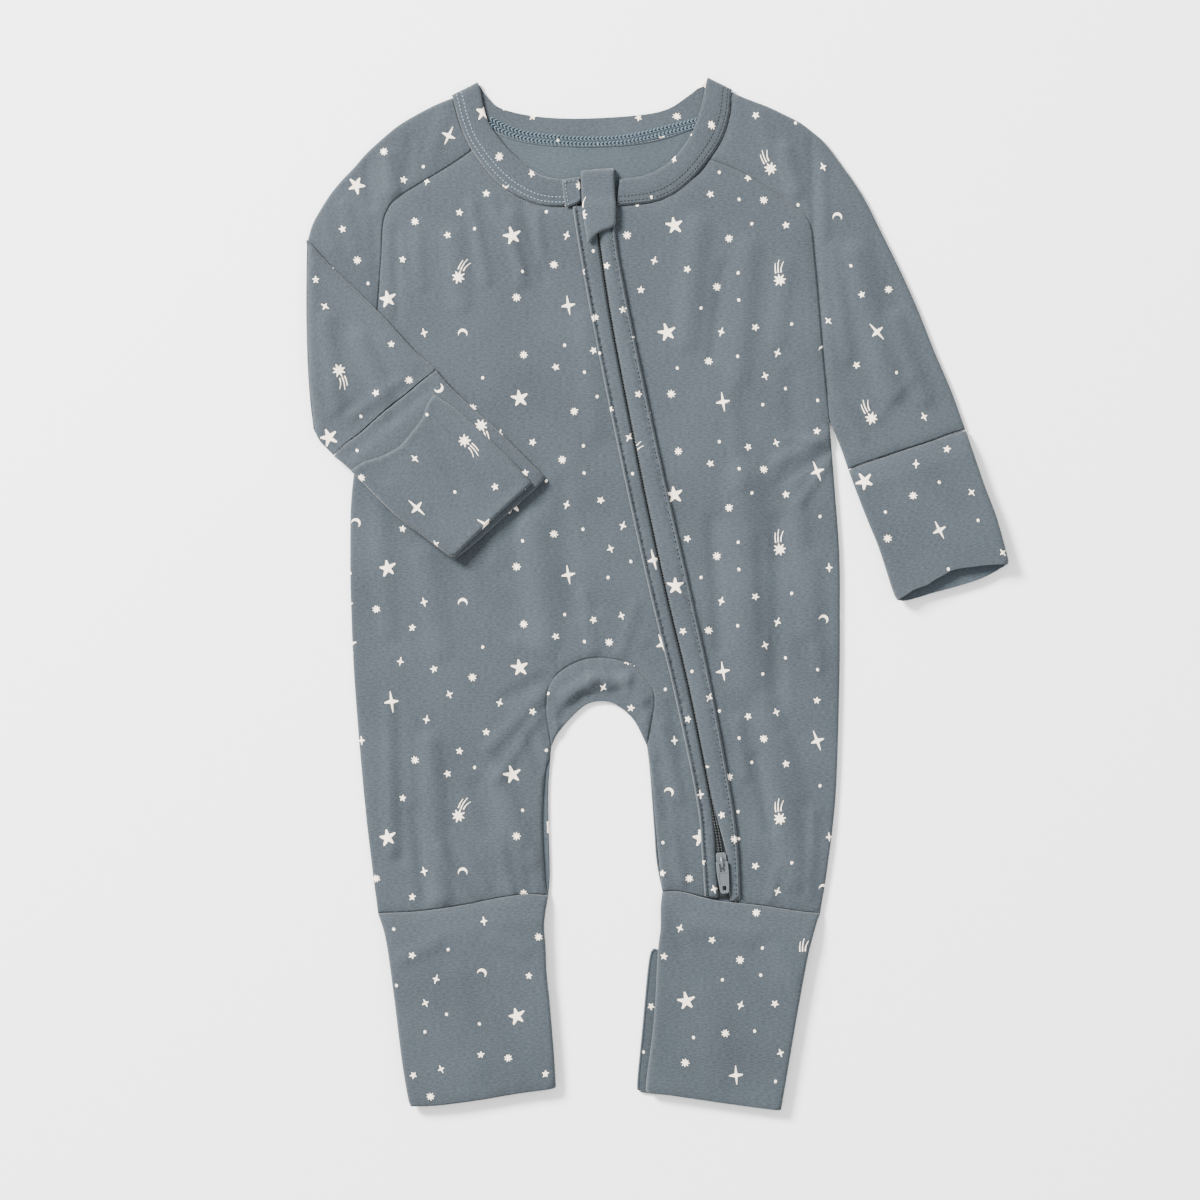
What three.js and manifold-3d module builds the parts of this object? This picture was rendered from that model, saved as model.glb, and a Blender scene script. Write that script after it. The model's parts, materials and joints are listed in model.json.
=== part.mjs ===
// Baby sleepsuit in printed cotton jersey, laid flat, in millimetres.
// +X points to the sleeve that lies spread out, +Y to the neck and +Z up.
// Left and right in the names are as seen from above.
// The origin is the middle of the suit's outline, on the surface that it lies on.
import * as THREE from 'three';
import { mergeVertices } from 'three/addons/utils/BufferGeometryUtils.js';
import Module from 'manifold-3d';

const wasm = await Module();
wasm.setup();

// Cloth and gaps
const CLOTH = 1.2; // one layer of brushed cotton jersey
const DOUBLED = 1.8; // a strip, cuff or cover of doubled jersey
const SEAM = 0.3; // gap between neighbouring pieces
const AIR = 0.3; // gap between two layers that lie on each other

// Levels of the stacked layers
const BACK_TOP = CLOTH;
const FRONT_LOW = BACK_TOP + AIR;
const FRONT_TOP = FRONT_LOW + CLOTH;
const BAND_TOP = FRONT_LOW + DOUBLED;
const ARM_LOW = FRONT_TOP + 0.5; // underside of the forearm that is folded over
const ARM_TOP = ARM_LOW + 2 * CLOTH + AIR;
const ARM_JOIN_X = -172; // left of this the folded layers are one body
const LAYER_SPLIT = (BACK_TOP + FRONT_LOW) / 2; // between the front and the back layer
const SPLIT_OVERLAP = 0.02; // cutters of the two layers meet with this to spare
const CUFF_THICK = 2 * DOUBLED + AIR;
const HAND_LOW = ARM_LOW + CUFF_THICK + SEAM;
const COVER_TOP = DOUBLED; // hand and foot covers that lie under their cuffs
const TAPE_THICK = 1.0;
const TAPE_TOP = FRONT_LOW + TAPE_THICK;
const PLACKET_LOW = FRONT_TOP + SEAM;
const PLACKET_TOP = PLACKET_LOW + 1.6;

// Mesh steps
const STEP = 11.5; // along a piece and across it
const PLAIN_STEP = 16; // where a piece has no folds
const EDGE = 1.4; // width of a rounded edge
const EDGE_STEPS = [0, 0.3, 1]; // shares of EDGE at which an edge is stepped
const EDGE_HEIGHT = [0.25, 0.72, 1]; // height of the rounded edge at those steps
const FINE_STEP = 5; // on small pieces
const FAR = 420; // beyond every piece
const BELOW_ALL = -5; // cutters start below the floor
const ABOVE_ALL = 40; // and end above the highest fold

// Body: side lines, the armholes above y = 95 and the side seams below
const BACK_NECK_ROWS = [
  { y: 256.4, left: -95.8, right: 24 },
  { y: 244, left: -105, right: 34 },
];
const FRONT_NECK_ROWS = [
  { y: 245, left: -100, right: 16 },
  { y: 238, left: -110.5, right: 31 },
];
const BODY_ROWS = [
  { y: 231, left: -121.5, right: 48 },
  { y: 218, left: -143.5, right: 68 },
  { y: 203, left: -151, right: 84 },
  { y: 184, left: -152, right: 86.5 },
  { y: 156, left: -154, right: 89 },
  { y: 126, left: -157, right: 91.5 },
  { y: 95, left: -162, right: 94.5 },
  { y: 57, left: -168, right: 97.5 },
  { y: 22, left: -169, right: 100 },
  { y: -50, left: -166.5, right: 100 },
  { y: -110, left: -161.5, right: 98 },
  { y: -150, left: -157, right: 93.5 },
  { y: -174, left: -153.7, right: 89.4 },
];

const BACK_ROWS = [...BACK_NECK_ROWS, ...BODY_ROWS];
const FRONT_ROWS = [...FRONT_NECK_ROWS, ...BODY_ROWS];
const ARMPIT_Y = 95;
const NECK_X = -36; // middle of the neckline

// Ankle seams, which bow upwards at the inseams
const ANKLE_LEFT = [
  [-160, -176], [-133, -174.5], [-110, -171.5], [-87, -167], [-72, -165], [-52, -165.5],
];
const ANKLE_RIGHT = [
  [-14, -164.8], [10, -163.5], [24, -166.7], [36, -169], [55, -171], [78, -174.4], [96, -175.8],
];

// Gap between the legs, from the left ankle over the crotch to the right ankle
const LEG_GAP = [
  [-60, -182], [-59.2, -153], [-59.8, -130], [-60, -107], [-57.8, -88], [-54.7, -76.5],
  [-47, -67.5], [-39, -60.8], [-31, -59], [-22.8, -60.8], [-13.5, -68.8], [-7, -81],
  [-4.2, -98.5], [-1.9, -130], [-0.6, -147], [0.6, -182],
];
const GUSSET_SEAM = [
  [-59, -84], [-61.2, -62], [-58, -47.5], [-46, -38], [-32, -35], [-15, -38.5],
  [-4.5, -49.5], [-1.8, -60], [-4.2, -84],
];

// Zip: its slit and the placket on each side of it
const ZIP_ROWS = [
  { y: 212, slit: -35, leftWidth: 11.5, rightWidth: 11 },
  { y: 190, slit: -31.6, leftWidth: 11.5, rightWidth: 9.5 },
  { y: 145, slit: -24.5, leftWidth: 10.5, rightWidth: 11 },
  { y: 68, slit: -9.6, leftWidth: 9.5, rightWidth: 12.5 },
  { y: 2, slit: 4.5, leftWidth: 9, rightWidth: 13.5 },
  { y: -53, slit: 17.4, leftWidth: 8.5, rightWidth: 12.5 },
  { y: -113, slit: 29.4, leftWidth: 8, rightWidth: 11.4 },
  { y: -141, slit: 34.6, leftWidth: 10.4, rightWidth: 9.6 },
  { y: -167, slit: 36.6, leftWidth: 10.6, rightWidth: 8.8 },
];
const SLIT_HALF = 0.7; // the closed plackets leave this each side of the slit
const SLIDER_X = 35.2; // middle of the slider
const SLIDER_Y = -147.5;
const SLIDER_ROOM = 3.9; // half the slit's width beside the slider
const SLIDER_SPREAD = 26; // length over which the plackets part above it
const TAPE_HALF = 7;
const UNDERLAP = 3; // the fronts run this far under the plackets

// Neckband: pairs of inner and outer edge points
const BAND_LEFT = [
  { ix: -43.5, iy: 227.8, ox: -47, oy: 213.2 },
  { ix: -56, iy: 228.2, ox: -57, oy: 213 },
  { ix: -66, iy: 231, ox: -70, oy: 215 },
  { ix: -77, iy: 239.5, ox: -87, oy: 225.5 },
  { ix: -87.5, iy: 251, ox: -102, oy: 244 },
  { ix: -94, iy: 262, ox: -108.6, oy: 258.5 },
  { ix: -98.2, iy: 280, ox: -112.5, oy: 272.8 },
];
const BAND_BACK = [
  { ix: -98.2, iy: 280, ox: -112.5, oy: 272.8 },
  { ix: -93.2, iy: 273, ox: -103, oy: 262.5 },
  { ix: -85.5, iy: 266.8, ox: -92, oy: 254 },
  { ix: -65, iy: 262.4, ox: -66, oy: 248 },
  { ix: -36, iy: 261.6, ox: -36, oy: 246.6 },
  { ix: 0.3, iy: 265, ox: 3, oy: 251 },
  { ix: 17, iy: 274, ox: 28, oy: 262 },
  { ix: 27, iy: 282.6, ox: 40.4, oy: 276 },
];
const BAND_RIGHT = [
  { ix: 27, iy: 282.6, ox: 40.4, oy: 276 },
  { ix: 24, iy: 268, ox: 39.2, oy: 262 },
  { ix: 18, iy: 252, ox: 33.5, oy: 247 },
  { ix: 7, iy: 238, ox: 17.5, oy: 227 },
  { ix: -6, iy: 230.5, ox: 1, oy: 216.5 },
  { ix: -20.8, iy: 227.8, ox: -22, oy: 213.4 },
];

// Where the raglan seams meet the band, and corners of the cutters beyond it
const RAGLAN_MEETS_BAND = { left: 243, right: 239 };
const BACK_RAGLAN_MEETS_BAND = 258.5;
const FRONT_NECK_CUT = { left: [-98, 300], right: [25, 300] };
const BACK_NECK_CUT = { left: [-100, 300], right: [30, 300] };
const SLEEVE_CUT = { left: [-98, 320], right: [26, 320], middle: [-30, 240] };

// Sleeves: the upper edge and the lower edge of each section across the arm
const SLEEVE_RIGHT = [
  { ax: 22, ay: 285, bx: 22, by: 228 },
  { ax: 40.5, ay: 276, bx: 38, by: 214 },
  { ax: 61, ay: 267.8, bx: 56, by: 196 },
  { ax: 78, ay: 259.5, bx: 72, by: 160 },
  { ax: 92, ay: 247.5, bx: 82, by: 118 },
  { ax: 112.5, ay: 219.5, bx: 94.6, by: 95 },
  { ax: 133.5, ay: 178, bx: 98, by: 87 },
  { ax: 152, ay: 134, bx: 101.5, by: 78 },
  { ax: 169.3, ay: 90.2, bx: 104.8, by: 68.4 },
];
const UPPER_ARM_LEFT = [
  { ax: -94, ay: 284, bx: -94, by: 230 },
  { ax: -112.6, ay: 273, bx: -110, by: 214 },
  { ax: -132, ay: 264, bx: -128, by: 190 },
  { ax: -152, ay: 249.7, bx: -148, by: 150 },
  { ax: -167, ay: 234.3, bx: -156, by: 112 },
  { ax: -180, ay: 219.5, bx: -162, by: 95 },
  { ax: -188, ay: 206, bx: -176, by: 92 },
  { ax: -191.6, ay: 194.5, bx: -188.4, by: 90 },
];
const FOREARM_LEFT = [
  { ax: -191.6, ay: 194.5, bx: -188.4, by: 90 },
  { ax: -180, ay: 180.5, bx: -187, by: 86.5 },
  { ax: -161.5, ay: 163, bx: -184.5, by: 83 },
  { ax: -147, ay: 148.5, bx: -181.5, by: 79.8 },
  { ax: -122.2, ay: 123.4, bx: -178, by: 76.2 },
];
const ARM_FOLD = [
  { ax: -192.8, ay: 195, bx: -184, by: 195 },
  { ax: -193, ay: 160, bx: -184, by: 160 },
  { ax: -192.6, ay: 125, bx: -184, by: 125 },
  { ax: -190.2, ay: 90, bx: -183, by: 90 },
];

const FOLD_CUT = { low: [-120, 60], high: [-120, 235] }; // inner corners of the cutter beside the fold
const JOIN_SINK = 0.6; // the joined layers reach this far into each other

// Cuffs: sections from the seam to the hem, with the lift of their underside and their thickness
const CUFF_LEFT = [
  { ax: -121.8, ay: 123, bx: -177.7, by: 75.8, lift: ARM_LOW, thick: CUFF_THICK },
  { ax: -109.7, ay: 109.5, bx: -168.4, by: 68, lift: ARM_LOW, thick: CUFF_THICK },
  { ax: -86.6, ay: 88.4, bx: -144.4, by: 43.6, lift: ARM_LOW, thick: CUFF_THICK },
  { ax: -62.6, ay: 64, bx: -112, by: 19.6, lift: ARM_LOW, thick: CUFF_THICK },
];
const CUFF_RIGHT = [
  { ax: 169.4, ay: 89.8, bx: 104.9, by: 68, lift: 0, thick: CUFF_THICK },
  { ax: 173.5, ay: 78, bx: 108.8, by: 57, lift: COVER_TOP + AIR, thick: CUFF_THICK },
  { ax: 180, ay: 59, bx: 115, by: 41, lift: COVER_TOP + AIR, thick: CUFF_THICK + 0.4 },
  { ax: 186, ay: 42, bx: 121.5, by: 25, lift: COVER_TOP + AIR, thick: CUFF_THICK + 1 },
  { ax: 192.6, ay: 16, bx: 131, by: -3.6, lift: COVER_TOP + AIR, thick: CUFF_THICK + 2 },
];
const ANKLE_CUFF_LEFT = [
  { ax: -153.5, ay: -176, bx: -60, by: -166.2, lift: 0, thick: CUFF_THICK },
  { ax: -149.3, ay: -190.5, bx: -62.2, by: -182, lift: COVER_TOP + AIR, thick: CUFF_THICK },
  { ax: -144.5, ay: -222, bx: -60.6, by: -214, lift: COVER_TOP + AIR, thick: CUFF_THICK },
  { ax: -140, ay: -256, bx: -57.5, by: -247, lift: COVER_TOP + AIR, thick: CUFF_THICK },
  { ax: -135, ay: -281.8, bx: -55.4, by: -271, lift: COVER_TOP + AIR, thick: CUFF_THICK },
];
const ANKLE_CUFF_RIGHT = [
  { ax: -1, ay: -165.2, bx: 89.4, by: -176, lift: 0, thick: CUFF_THICK },
  { ax: 0.6, ay: -180, bx: 86.6, by: -186, lift: COVER_TOP + AIR, thick: CUFF_THICK },
  { ax: -0.4, ay: -198, bx: 83, by: -204, lift: COVER_TOP + AIR, thick: CUFF_THICK },
  { ax: -2.4, ay: -236, bx: 76.5, by: -242, lift: COVER_TOP + AIR, thick: CUFF_THICK },
  { ax: -6.4, ay: -273.6, bx: 67.6, by: -283.4, lift: COVER_TOP + AIR, thick: CUFF_THICK },
];
const ANKLE_BOW = 3.2; // the seam's middle bows this far from a straight line

// Hand and foot covers, folded back on their cuffs
const HAND_COVER_LEFT = [
  { ax: -125.4, ay: 109.6, bx: -167.4, by: 68.2 },
  { ax: -117, ay: 104.8, bx: -160, by: 60 },
  { ax: -96.6, ay: 87.6, bx: -143.8, by: 44.8 },
  { ax: -80, ay: 71.6, bx: -127.6, by: 32.6 },
  { ax: -68.8, ay: 60.2, bx: -112, by: 20.6 },
];
const HAND_MOUTH_WAVE = 6; // depth of the S in the cover's mouth
const HAND_MOUTH_STEPS = 12;
const HAND_MOUTH_BACK = 20; // the mouth's cutter reaches this far back
const HAND_COVER_RIGHT = [
  { ax: 171, ay: 76, bx: 112, by: 57 },
  { ax: 178, ay: 56, bx: 119, by: 38 },
  { ax: 184, ay: 36, bx: 125.5, by: 20 },
  { ax: 188.5, ay: 18, bx: 131, by: 1 },
];
const FOOT_COVER_LEFT = [
  { ax: -145.5, ay: -206, bx: -65, by: -198 },
  { ax: -141, ay: -236, bx: -63, by: -228 },
  { ax: -134, ay: -278, bx: -59, by: -268 },
];
const FOOT_COVER_RIGHT = [
  { ax: -3.2, ay: -195.8, bx: 78, by: -202 },
  { ax: -5.6, ay: -207, bx: 76, by: -214 },
  { ax: -8.2, ay: -236, bx: 72, by: -243 },
  { ax: -11.2, ay: -272, bx: 64, by: -281.5 },
];

// Largest soft folds of the upper layer: ridges from one point to another
const FOLDS = [
  { x1: -68, y1: 38, x2: -62, y2: -24, wide: 13, high: 1.8 }, // belly, down to the crotch
  { x1: -125, y1: -82, x2: -119, y2: -166, wide: 9, high: 1.8 }, // front of the left leg
  { x1: -88, y1: -100, x2: -70, y2: -146, wide: 8, high: 1.4 }, // left inner thigh
  { x1: -146, y1: -60, x2: -145, y2: -140, wide: 7, high: 1.2 }, // outside of the left leg
  { x1: 48, y1: 62, x2: 50, y2: -50, wide: 15, high: 2.2 }, // right of the zip
  { x1: 60, y1: -62, x2: 76, y2: -156, wide: 11, high: 1.9 }, // front of the right leg
  { x1: 76, y1: 66, x2: 82, y2: -20, wide: 8, high: 1.1 }, // right flank
  { x1: -81, y1: 208, x2: -75, y2: 172, wide: 6, high: 1.2 }, // below the neckband, left
  { x1: -112, y1: 196, x2: -108, y2: 160, wide: 9, high: 1.1 }, // left chest
  { x1: 22, y1: 202, x2: 16, y2: 140, wide: 10, high: 1.3 }, // right chest
  { x1: 50, y1: 190, x2: 44, y2: 120, wide: 10, high: 1.2 }, // right chest, outer
  { x1: 92, y1: 86, x2: 66, y2: 72, wide: 7, high: 1.4 }, // from the right armpit
  { x1: 70, y1: 244, x2: 76, y2: 222, wide: 7, high: 1.5 }, // right shoulder
  { x1: 108, y1: 186, x2: 128, y2: 112, wide: 11, high: 1.9 }, // right upper arm
  { x1: 130, y1: 150, x2: 146, y2: 108, wide: 8, high: 1.3 }, // right elbow
  { x1: -148, y1: 240, x2: -146, y2: 222, wide: 7, high: 1.5 }, // left shoulder
];
const FOREARM_FOLDS = [
  { x1: -182, y1: 150, x2: -176, y2: 100, wide: 7, high: 1.1 },
  { x1: -164, y1: 140, x2: -150, y2: 108, wide: 8, high: 1.3 },
];

// Zip garage: a tab folded over the zip's upper end
const GARAGE_ROWS = [
  { y: 192.6, left: -38.2, right: -23.6, low: PLACKET_TOP + SEAM },
  { y: 205, left: -40.6, right: -23, low: PLACKET_TOP + SEAM },
  { y: 214, left: -41.6, right: -23.2, low: PLACKET_TOP + SEAM },
  { y: 220, left: -41.8, right: -23.5, low: BAND_TOP + 0.6 },
  { y: 227, left: -42, right: -23.9, low: BAND_TOP + SEAM },
  { y: 233, left: -42, right: -24.4, low: BAND_TOP + SEAM },
];
const GARAGE_THICK = 1.6;

// Slider and pull tab
const SLIDER_LENGTH = 11;
const SLIDER_WIDTH = 5.6;
const SLIDER_BASE_WIDTH = 8;
const SLIDER_PLATE = 0.9;
const SLIDER_UPPER_LOW = 3.5;
const SLIDER_TOP = SLIDER_UPPER_LOW + SLIDER_PLATE;
const SLIDER_POST = 1.6;
const ARCH_WIDTH = 1.5;
const ARCH_BAR = 0.9;
const ARCH_HALF_LENGTH = 3.6;
const ARCH_ROOM = 1.9; // clear height under the arch
const ARCH_SINK = 0.2; // its legs reach this far into the plate and the bar
const POST_Y = 2;
const PULL_THICK = 1.1;
const PULL_WIDTH = 6.6;
const PULL_TIP_WIDTH = 5.4;
const PULL_LENGTH = 17;
const PULL_SLOT_WIDTH = 3.1;
const PULL_SLOT_LENGTH = 4.6;
const PULL_WAIST_Y = -6; // the tab tapers below this
const PULL_CHAMFER = 1;
const PULL_WINDOW = { halfWidth: 0.9, fromTip: 1.4, toTip: 3 };
const PIVOT_Z = SLIDER_TOP + ARCH_ROOM / 2;
const ZIP_TILT = THREE.MathUtils.degToRad(6); // the zip leans to the right at the slider

// Colours from the dyed jersey and the coated metal
const MATERIALS = {
  jersey: { color: 0x7c868c, roughness: 0.92, metalness: 0 },
  jerseyShade: { color: 0x737d81, roughness: 0.92, metalness: 0 },
  tape: { color: 0x5d676c, roughness: 0.85, metalness: 0 },
  metal: { color: 0x737a7e, roughness: 0.42, metalness: 0.6 },
};

// Rows between the rows of a table, on a smooth line through each column
function fineRows(table, step = STEP) {
  const keys = Object.keys(table[0]);
  const point = (row) => ('y' in row ? [row.y, 0] : [(row.ax ?? row.ox), (row.ay ?? row.oy)]);
  const rows = [];
  for (let i = 0; i < table.length - 1; i += 1) {
    const [before, from, to, after] = [-1, 0, 1, 2].map(
      (k) => table[THREE.MathUtils.clamp(i + k, 0, table.length - 1)],
    );
    const [x1, y1] = point(from);
    const [x2, y2] = point(to);
    const count = Math.max(1, Math.round(Math.hypot(x2 - x1, y2 - y1) / step));
    for (let k = 0; k < count; k += 1) {
      const t = k / count;
      const row = {};
      for (const key of keys) {
        const slopeFrom = (to[key] - before[key]) / 2;
        const slopeTo = (after[key] - from[key]) / 2;
        const t2 = t * t;
        const t3 = t2 * t;
        row[key] = (2 * t3 - 3 * t2 + 1) * from[key] + (t3 - 2 * t2 + t) * slopeFrom
          + (3 * t2 - 2 * t3) * to[key] + (t3 - t2) * slopeTo;
      }
      rows.push(row);
    }
  }
  rows.push({ ...table[table.length - 1] });
  return rows;
}

// A smooth open line through plan points
function fineLine(points, step = STEP) {
  const curve = new THREE.SplineCurve(points.map(([x, y]) => new THREE.Vector2(x, y)));
  return curve.getPoints(Math.ceil(curve.getLength() / step));
}

// The line moved sideways, to its left when the distance is positive
function offsetLine(line, distance) {
  return line.map((point, i) => {
    const before = line[Math.max(0, i - 1)];
    const after = line[Math.min(line.length - 1, i + 1)];
    const along = after.clone().sub(before).normalize();
    return new THREE.Vector2(point.x - along.y * distance, point.y + along.x * distance);
  });
}

// Height of the soft folds at a plan point
function foldHeight(folds, x, y) {
  let height = 0;
  for (const fold of folds) {
    const dx = fold.x2 - fold.x1;
    const dy = fold.y2 - fold.y1;
    const along = ((x - fold.x1) * dx + (y - fold.y1) * dy) / (dx * dx + dy * dy);
    const t = THREE.MathUtils.clamp(along, 0, 1);
    const away = Math.hypot(x - fold.x1 - t * dx, y - fold.y1 - t * dy) / fold.wide;
    if (away < 1) {
      height += fold.high * (1 - away * away) ** 2;
    }
  }
  return height;
}

// One section across a flat piece from a to b: points of its upper and its lower side
function section(a, b, options) {
  const length = a.distanceTo(b);
  const edge = Math.min(EDGE, length / 4);
  const inner = Math.max(1, Math.round((options.across ?? length - 2 * edge) / (options.step ?? STEP)));
  const places = EDGE_STEPS.map((share) => share * edge);
  const heights = [...EDGE_HEIGHT];
  for (let k = 1; k < inner; k += 1) {
    places.push(edge + ((length - 2 * edge) * k) / inner);
    heights.push(1);
  }
  for (let k = EDGE_STEPS.length - 1; k >= 0; k -= 1) {
    places.push(length - EDGE_STEPS[k] * edge);
    heights.push(EDGE_HEIGHT[k]);
  }
  const upper = [];
  const lower = [];
  places.forEach((place, k) => {
    const at = a.clone().lerp(b, place / length);
    const low = options.low(at.x, at.y);
    const high = options.high(at.x, at.y);
    const middle = (low + high) / 2;
    const roundUp = options.roundTop === false ? 1 : heights[k];
    const roundDown = options.roundBottom === false ? 1 : heights[k];
    upper.push(new THREE.Vector3(at.x, at.y, middle + (high - middle) * roundUp));
    lower.push(new THREE.Vector3(at.x, at.y, middle - (middle - low) * roundDown));
  });
  return { upper, lower };
}

// A closed mesh from triangles given as corner points
function solidFrom(triangles) {
  const geometry = new THREE.BufferGeometry();
  const numbers = triangles.flatMap((p) => p.toArray());
  geometry.setAttribute('position', new THREE.Float32BufferAttribute(numbers, 3));
  return toManifold(geometry);
}

function toManifold(geometry) {
  geometry.deleteAttribute('normal');
  geometry.deleteAttribute('uv');
  const merged = mergeVertices(geometry, 1e-4);
  const mesh = new wasm.Mesh({
    numProp: 3,
    vertProperties: Float32Array.from(merged.attributes.position.array),
    triVerts: Uint32Array.from(merged.index.array),
  });
  return new wasm.Manifold(mesh);
}

function quad(triangles, a, b, c, d) {
  triangles.push(a, b, c, a, c, d);
}

// Sections joined into one closed body; the sections run so that a to b turns left of their path
function loft(sections) {
  const triangles = [];
  const rings = sections.map(({ upper, lower }) => [...upper, ...[...lower].reverse()]);
  for (let i = 0; i < rings.length - 1; i += 1) {
    const size = rings[i].length;
    for (let k = 0; k < size; k += 1) {
      const next = (k + 1) % size;
      quad(triangles, rings[i][k], rings[i][next], rings[i + 1][next], rings[i + 1][k]);
    }
  }
  const cap = ({ upper, lower }, flip) => {
    for (let k = 0; k < upper.length - 1; k += 1) {
      const corners = [upper[k], lower[k], lower[k + 1], upper[k + 1]];
      quad(triangles, ...(flip ? corners.reverse() : corners));
    }
  };
  cap(sections[0], false);
  cap(sections[sections.length - 1], true);
  return outward(solidFrom(triangles), triangles);
}

// A loft that runs the other way round is turned inside out once
function outward(solid, triangles) {
  if (solid.volume() > 0) {
    return solid;
  }
  const turned = [];
  for (let i = 0; i < triangles.length; i += 3) {
    turned.push(triangles[i], triangles[i + 2], triangles[i + 1]);
  }
  return solidFrom(turned);
}

// A flat piece from section rows, solid throughout
function flatPiece(rows, options) {
  const across = Math.max(...rows.map((row) => row.a.distanceTo(row.b)));
  return loft(rows.map((row) => section(row.a, row.b, { across, ...options, ...row.levels })));
}

const level = (z) => () => z;
const armRows = (table, step = STEP) => fineRows(table, step).map((row) => ({
  a: new THREE.Vector2(row.ax, row.ay),
  b: new THREE.Vector2(row.bx, row.by),
}));
const bodyRows = (table, step = STEP) => fineRows(table, step).map((row) => ({
  a: new THREE.Vector2(row.left, row.y),
  b: new THREE.Vector2(row.right, row.y),
}));

// A flattened tube: the outer form less a hollow that is open at both ends
function flatTube(rows, wall, levelsOf, step = STEP) {
  const outer = flatPiece(rows.map((row) => ({ ...row, levels: levelsOf(row, 0) })), { step });
  const hollowRows = rows.map((row) => {
    const inset = row.b.clone().sub(row.a).setLength(wall);
    return { a: row.a.clone().add(inset), b: row.b.clone().sub(inset), levels: levelsOf(row, wall) };
  });
  for (const [end, beside] of [[0, 1], [rows.length - 1, rows.length - 2]]) {
    for (const corner of ['a', 'b']) {
      const past = rows[end][corner].clone().sub(rows[beside][corner]).setLength(1);
      hollowRows[end][corner].add(past);
    }
  }
  return outer.subtract(flatPiece(hollowRows, { step }));
}

// A straight-sided cutter over a plan outline
function cutter(points, low, high) {
  const shape = new THREE.Shape(points);
  const geometry = new THREE.ExtrudeGeometry(shape, { depth: high - low, bevelEnabled: false });
  geometry.translate(0, 0, low);
  return toManifold(geometry);
}

const cutAll = (points) => cutter(points, BELOW_ALL, ABOVE_ALL);
const cutFront = (points) => cutter(points, LAYER_SPLIT - SPLIT_OVERLAP, ABOVE_ALL);
const cutBack = (points) => cutter(points, BELOW_ALL, LAYER_SPLIT + SPLIT_OVERLAP);
const corner = (x, y) => new THREE.Vector2(x, y);

// Neckline cutters: everything inside the band's outer edge, with the seam's gap
const bandRows = (table, step = STEP) => fineRows(table, step);
const outerEdge = (table) => bandRows(table).map((row) => corner(row.ox, row.oy));
const backNeck = outerEdge(BAND_BACK);
const frontNeckEdge = [
  ...offsetLine(outerEdge(BAND_LEFT), SEAM),
  corner(...FRONT_NECK_CUT.left),
  corner(...FRONT_NECK_CUT.right),
  ...offsetLine(outerEdge(BAND_RIGHT), SEAM),
];
const backNeckEdge = [
  ...offsetLine(backNeck, -SEAM),
  corner(...BACK_NECK_CUT.right),
  corner(...BACK_NECK_CUT.left),
];

// Back and front sheets, whose upper layer carries the folds
const frontLow = (x, y) => FRONT_LOW + foldHeight(FOLDS, x, y);
const frontHigh = (x, y) => FRONT_TOP + foldHeight(FOLDS, x, y);

function legEnds() {
  const below = (line) => [
    ...fineLine(line),
    corner(line[line.length - 1][0], -FAR),
    corner(line[0][0], -FAR),
  ];
  return cutAll(below(ANKLE_LEFT)).add(cutAll(below(ANKLE_RIGHT)));
}

const legGap = cutAll(fineLine(LEG_GAP, FINE_STEP));

function backPiece() {
  const rows = bodyRows(BACK_ROWS, PLAIN_STEP);
  const options = { low: level(0), high: level(BACK_TOP), roundTop: false, across: PLAIN_STEP };
  const sheet = flatPiece(rows, options);
  return sheet.subtract(legGap).subtract(legEnds()).subtract(cutAll(backNeckEdge));
}

function frontSheet() {
  const rows = bodyRows(FRONT_ROWS);
  const sheet = flatPiece(rows, { low: frontLow, high: frontHigh, roundBottom: false });
  return sheet.subtract(legGap).subtract(legEnds()).subtract(cutAll(frontNeckEdge));
}

// Half the slit's width along the zip: it opens towards the slider
function slitHalf(y) {
  const near = THREE.MathUtils.clamp(1 - (y - SLIDER_Y - SLIDER_LENGTH) / SLIDER_SPREAD, 0, 1);
  return SLIT_HALF + (SLIDER_ROOM - SLIT_HALF) * near * near;
}

const zipRows = fineRows(ZIP_ROWS, 13);
const zipLine = (offset) => zipRows.map((row) => corner(row.slit + offset(row), row.y));

// Everything on one side of the zip, for cutting a front panel from the sheet
function besideZip(side) {
  const edge = side < 0
    ? zipLine((row) => UNDERLAP - row.leftWidth)
    : zipLine((row) => row.rightWidth - UNDERLAP);
  const first = edge[0];
  const last = edge[edge.length - 1];
  return cutAll([
    corner(first.x, FAR),
    ...edge,
    corner(last.x, -FAR),
    corner(-side * FAR, -FAR),
    corner(-side * FAR, FAR),
  ]);
}

function placket(side) {
  const rows = zipRows.map((row) => {
    const near = row.slit + side * slitHalf(row.y);
    const far = row.slit + side * (side < 0 ? row.leftWidth : row.rightWidth);
    return { a: corner(Math.min(near, far), row.y), b: corner(Math.max(near, far), row.y) };
  });
  const low = (x, y) => PLACKET_LOW + foldHeight(FOLDS, x, y);
  const high = (x, y) => PLACKET_TOP + foldHeight(FOLDS, x, y);
  return flatPiece(rows, { low, high, step: FINE_STEP, roundBottom: false });
}

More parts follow.
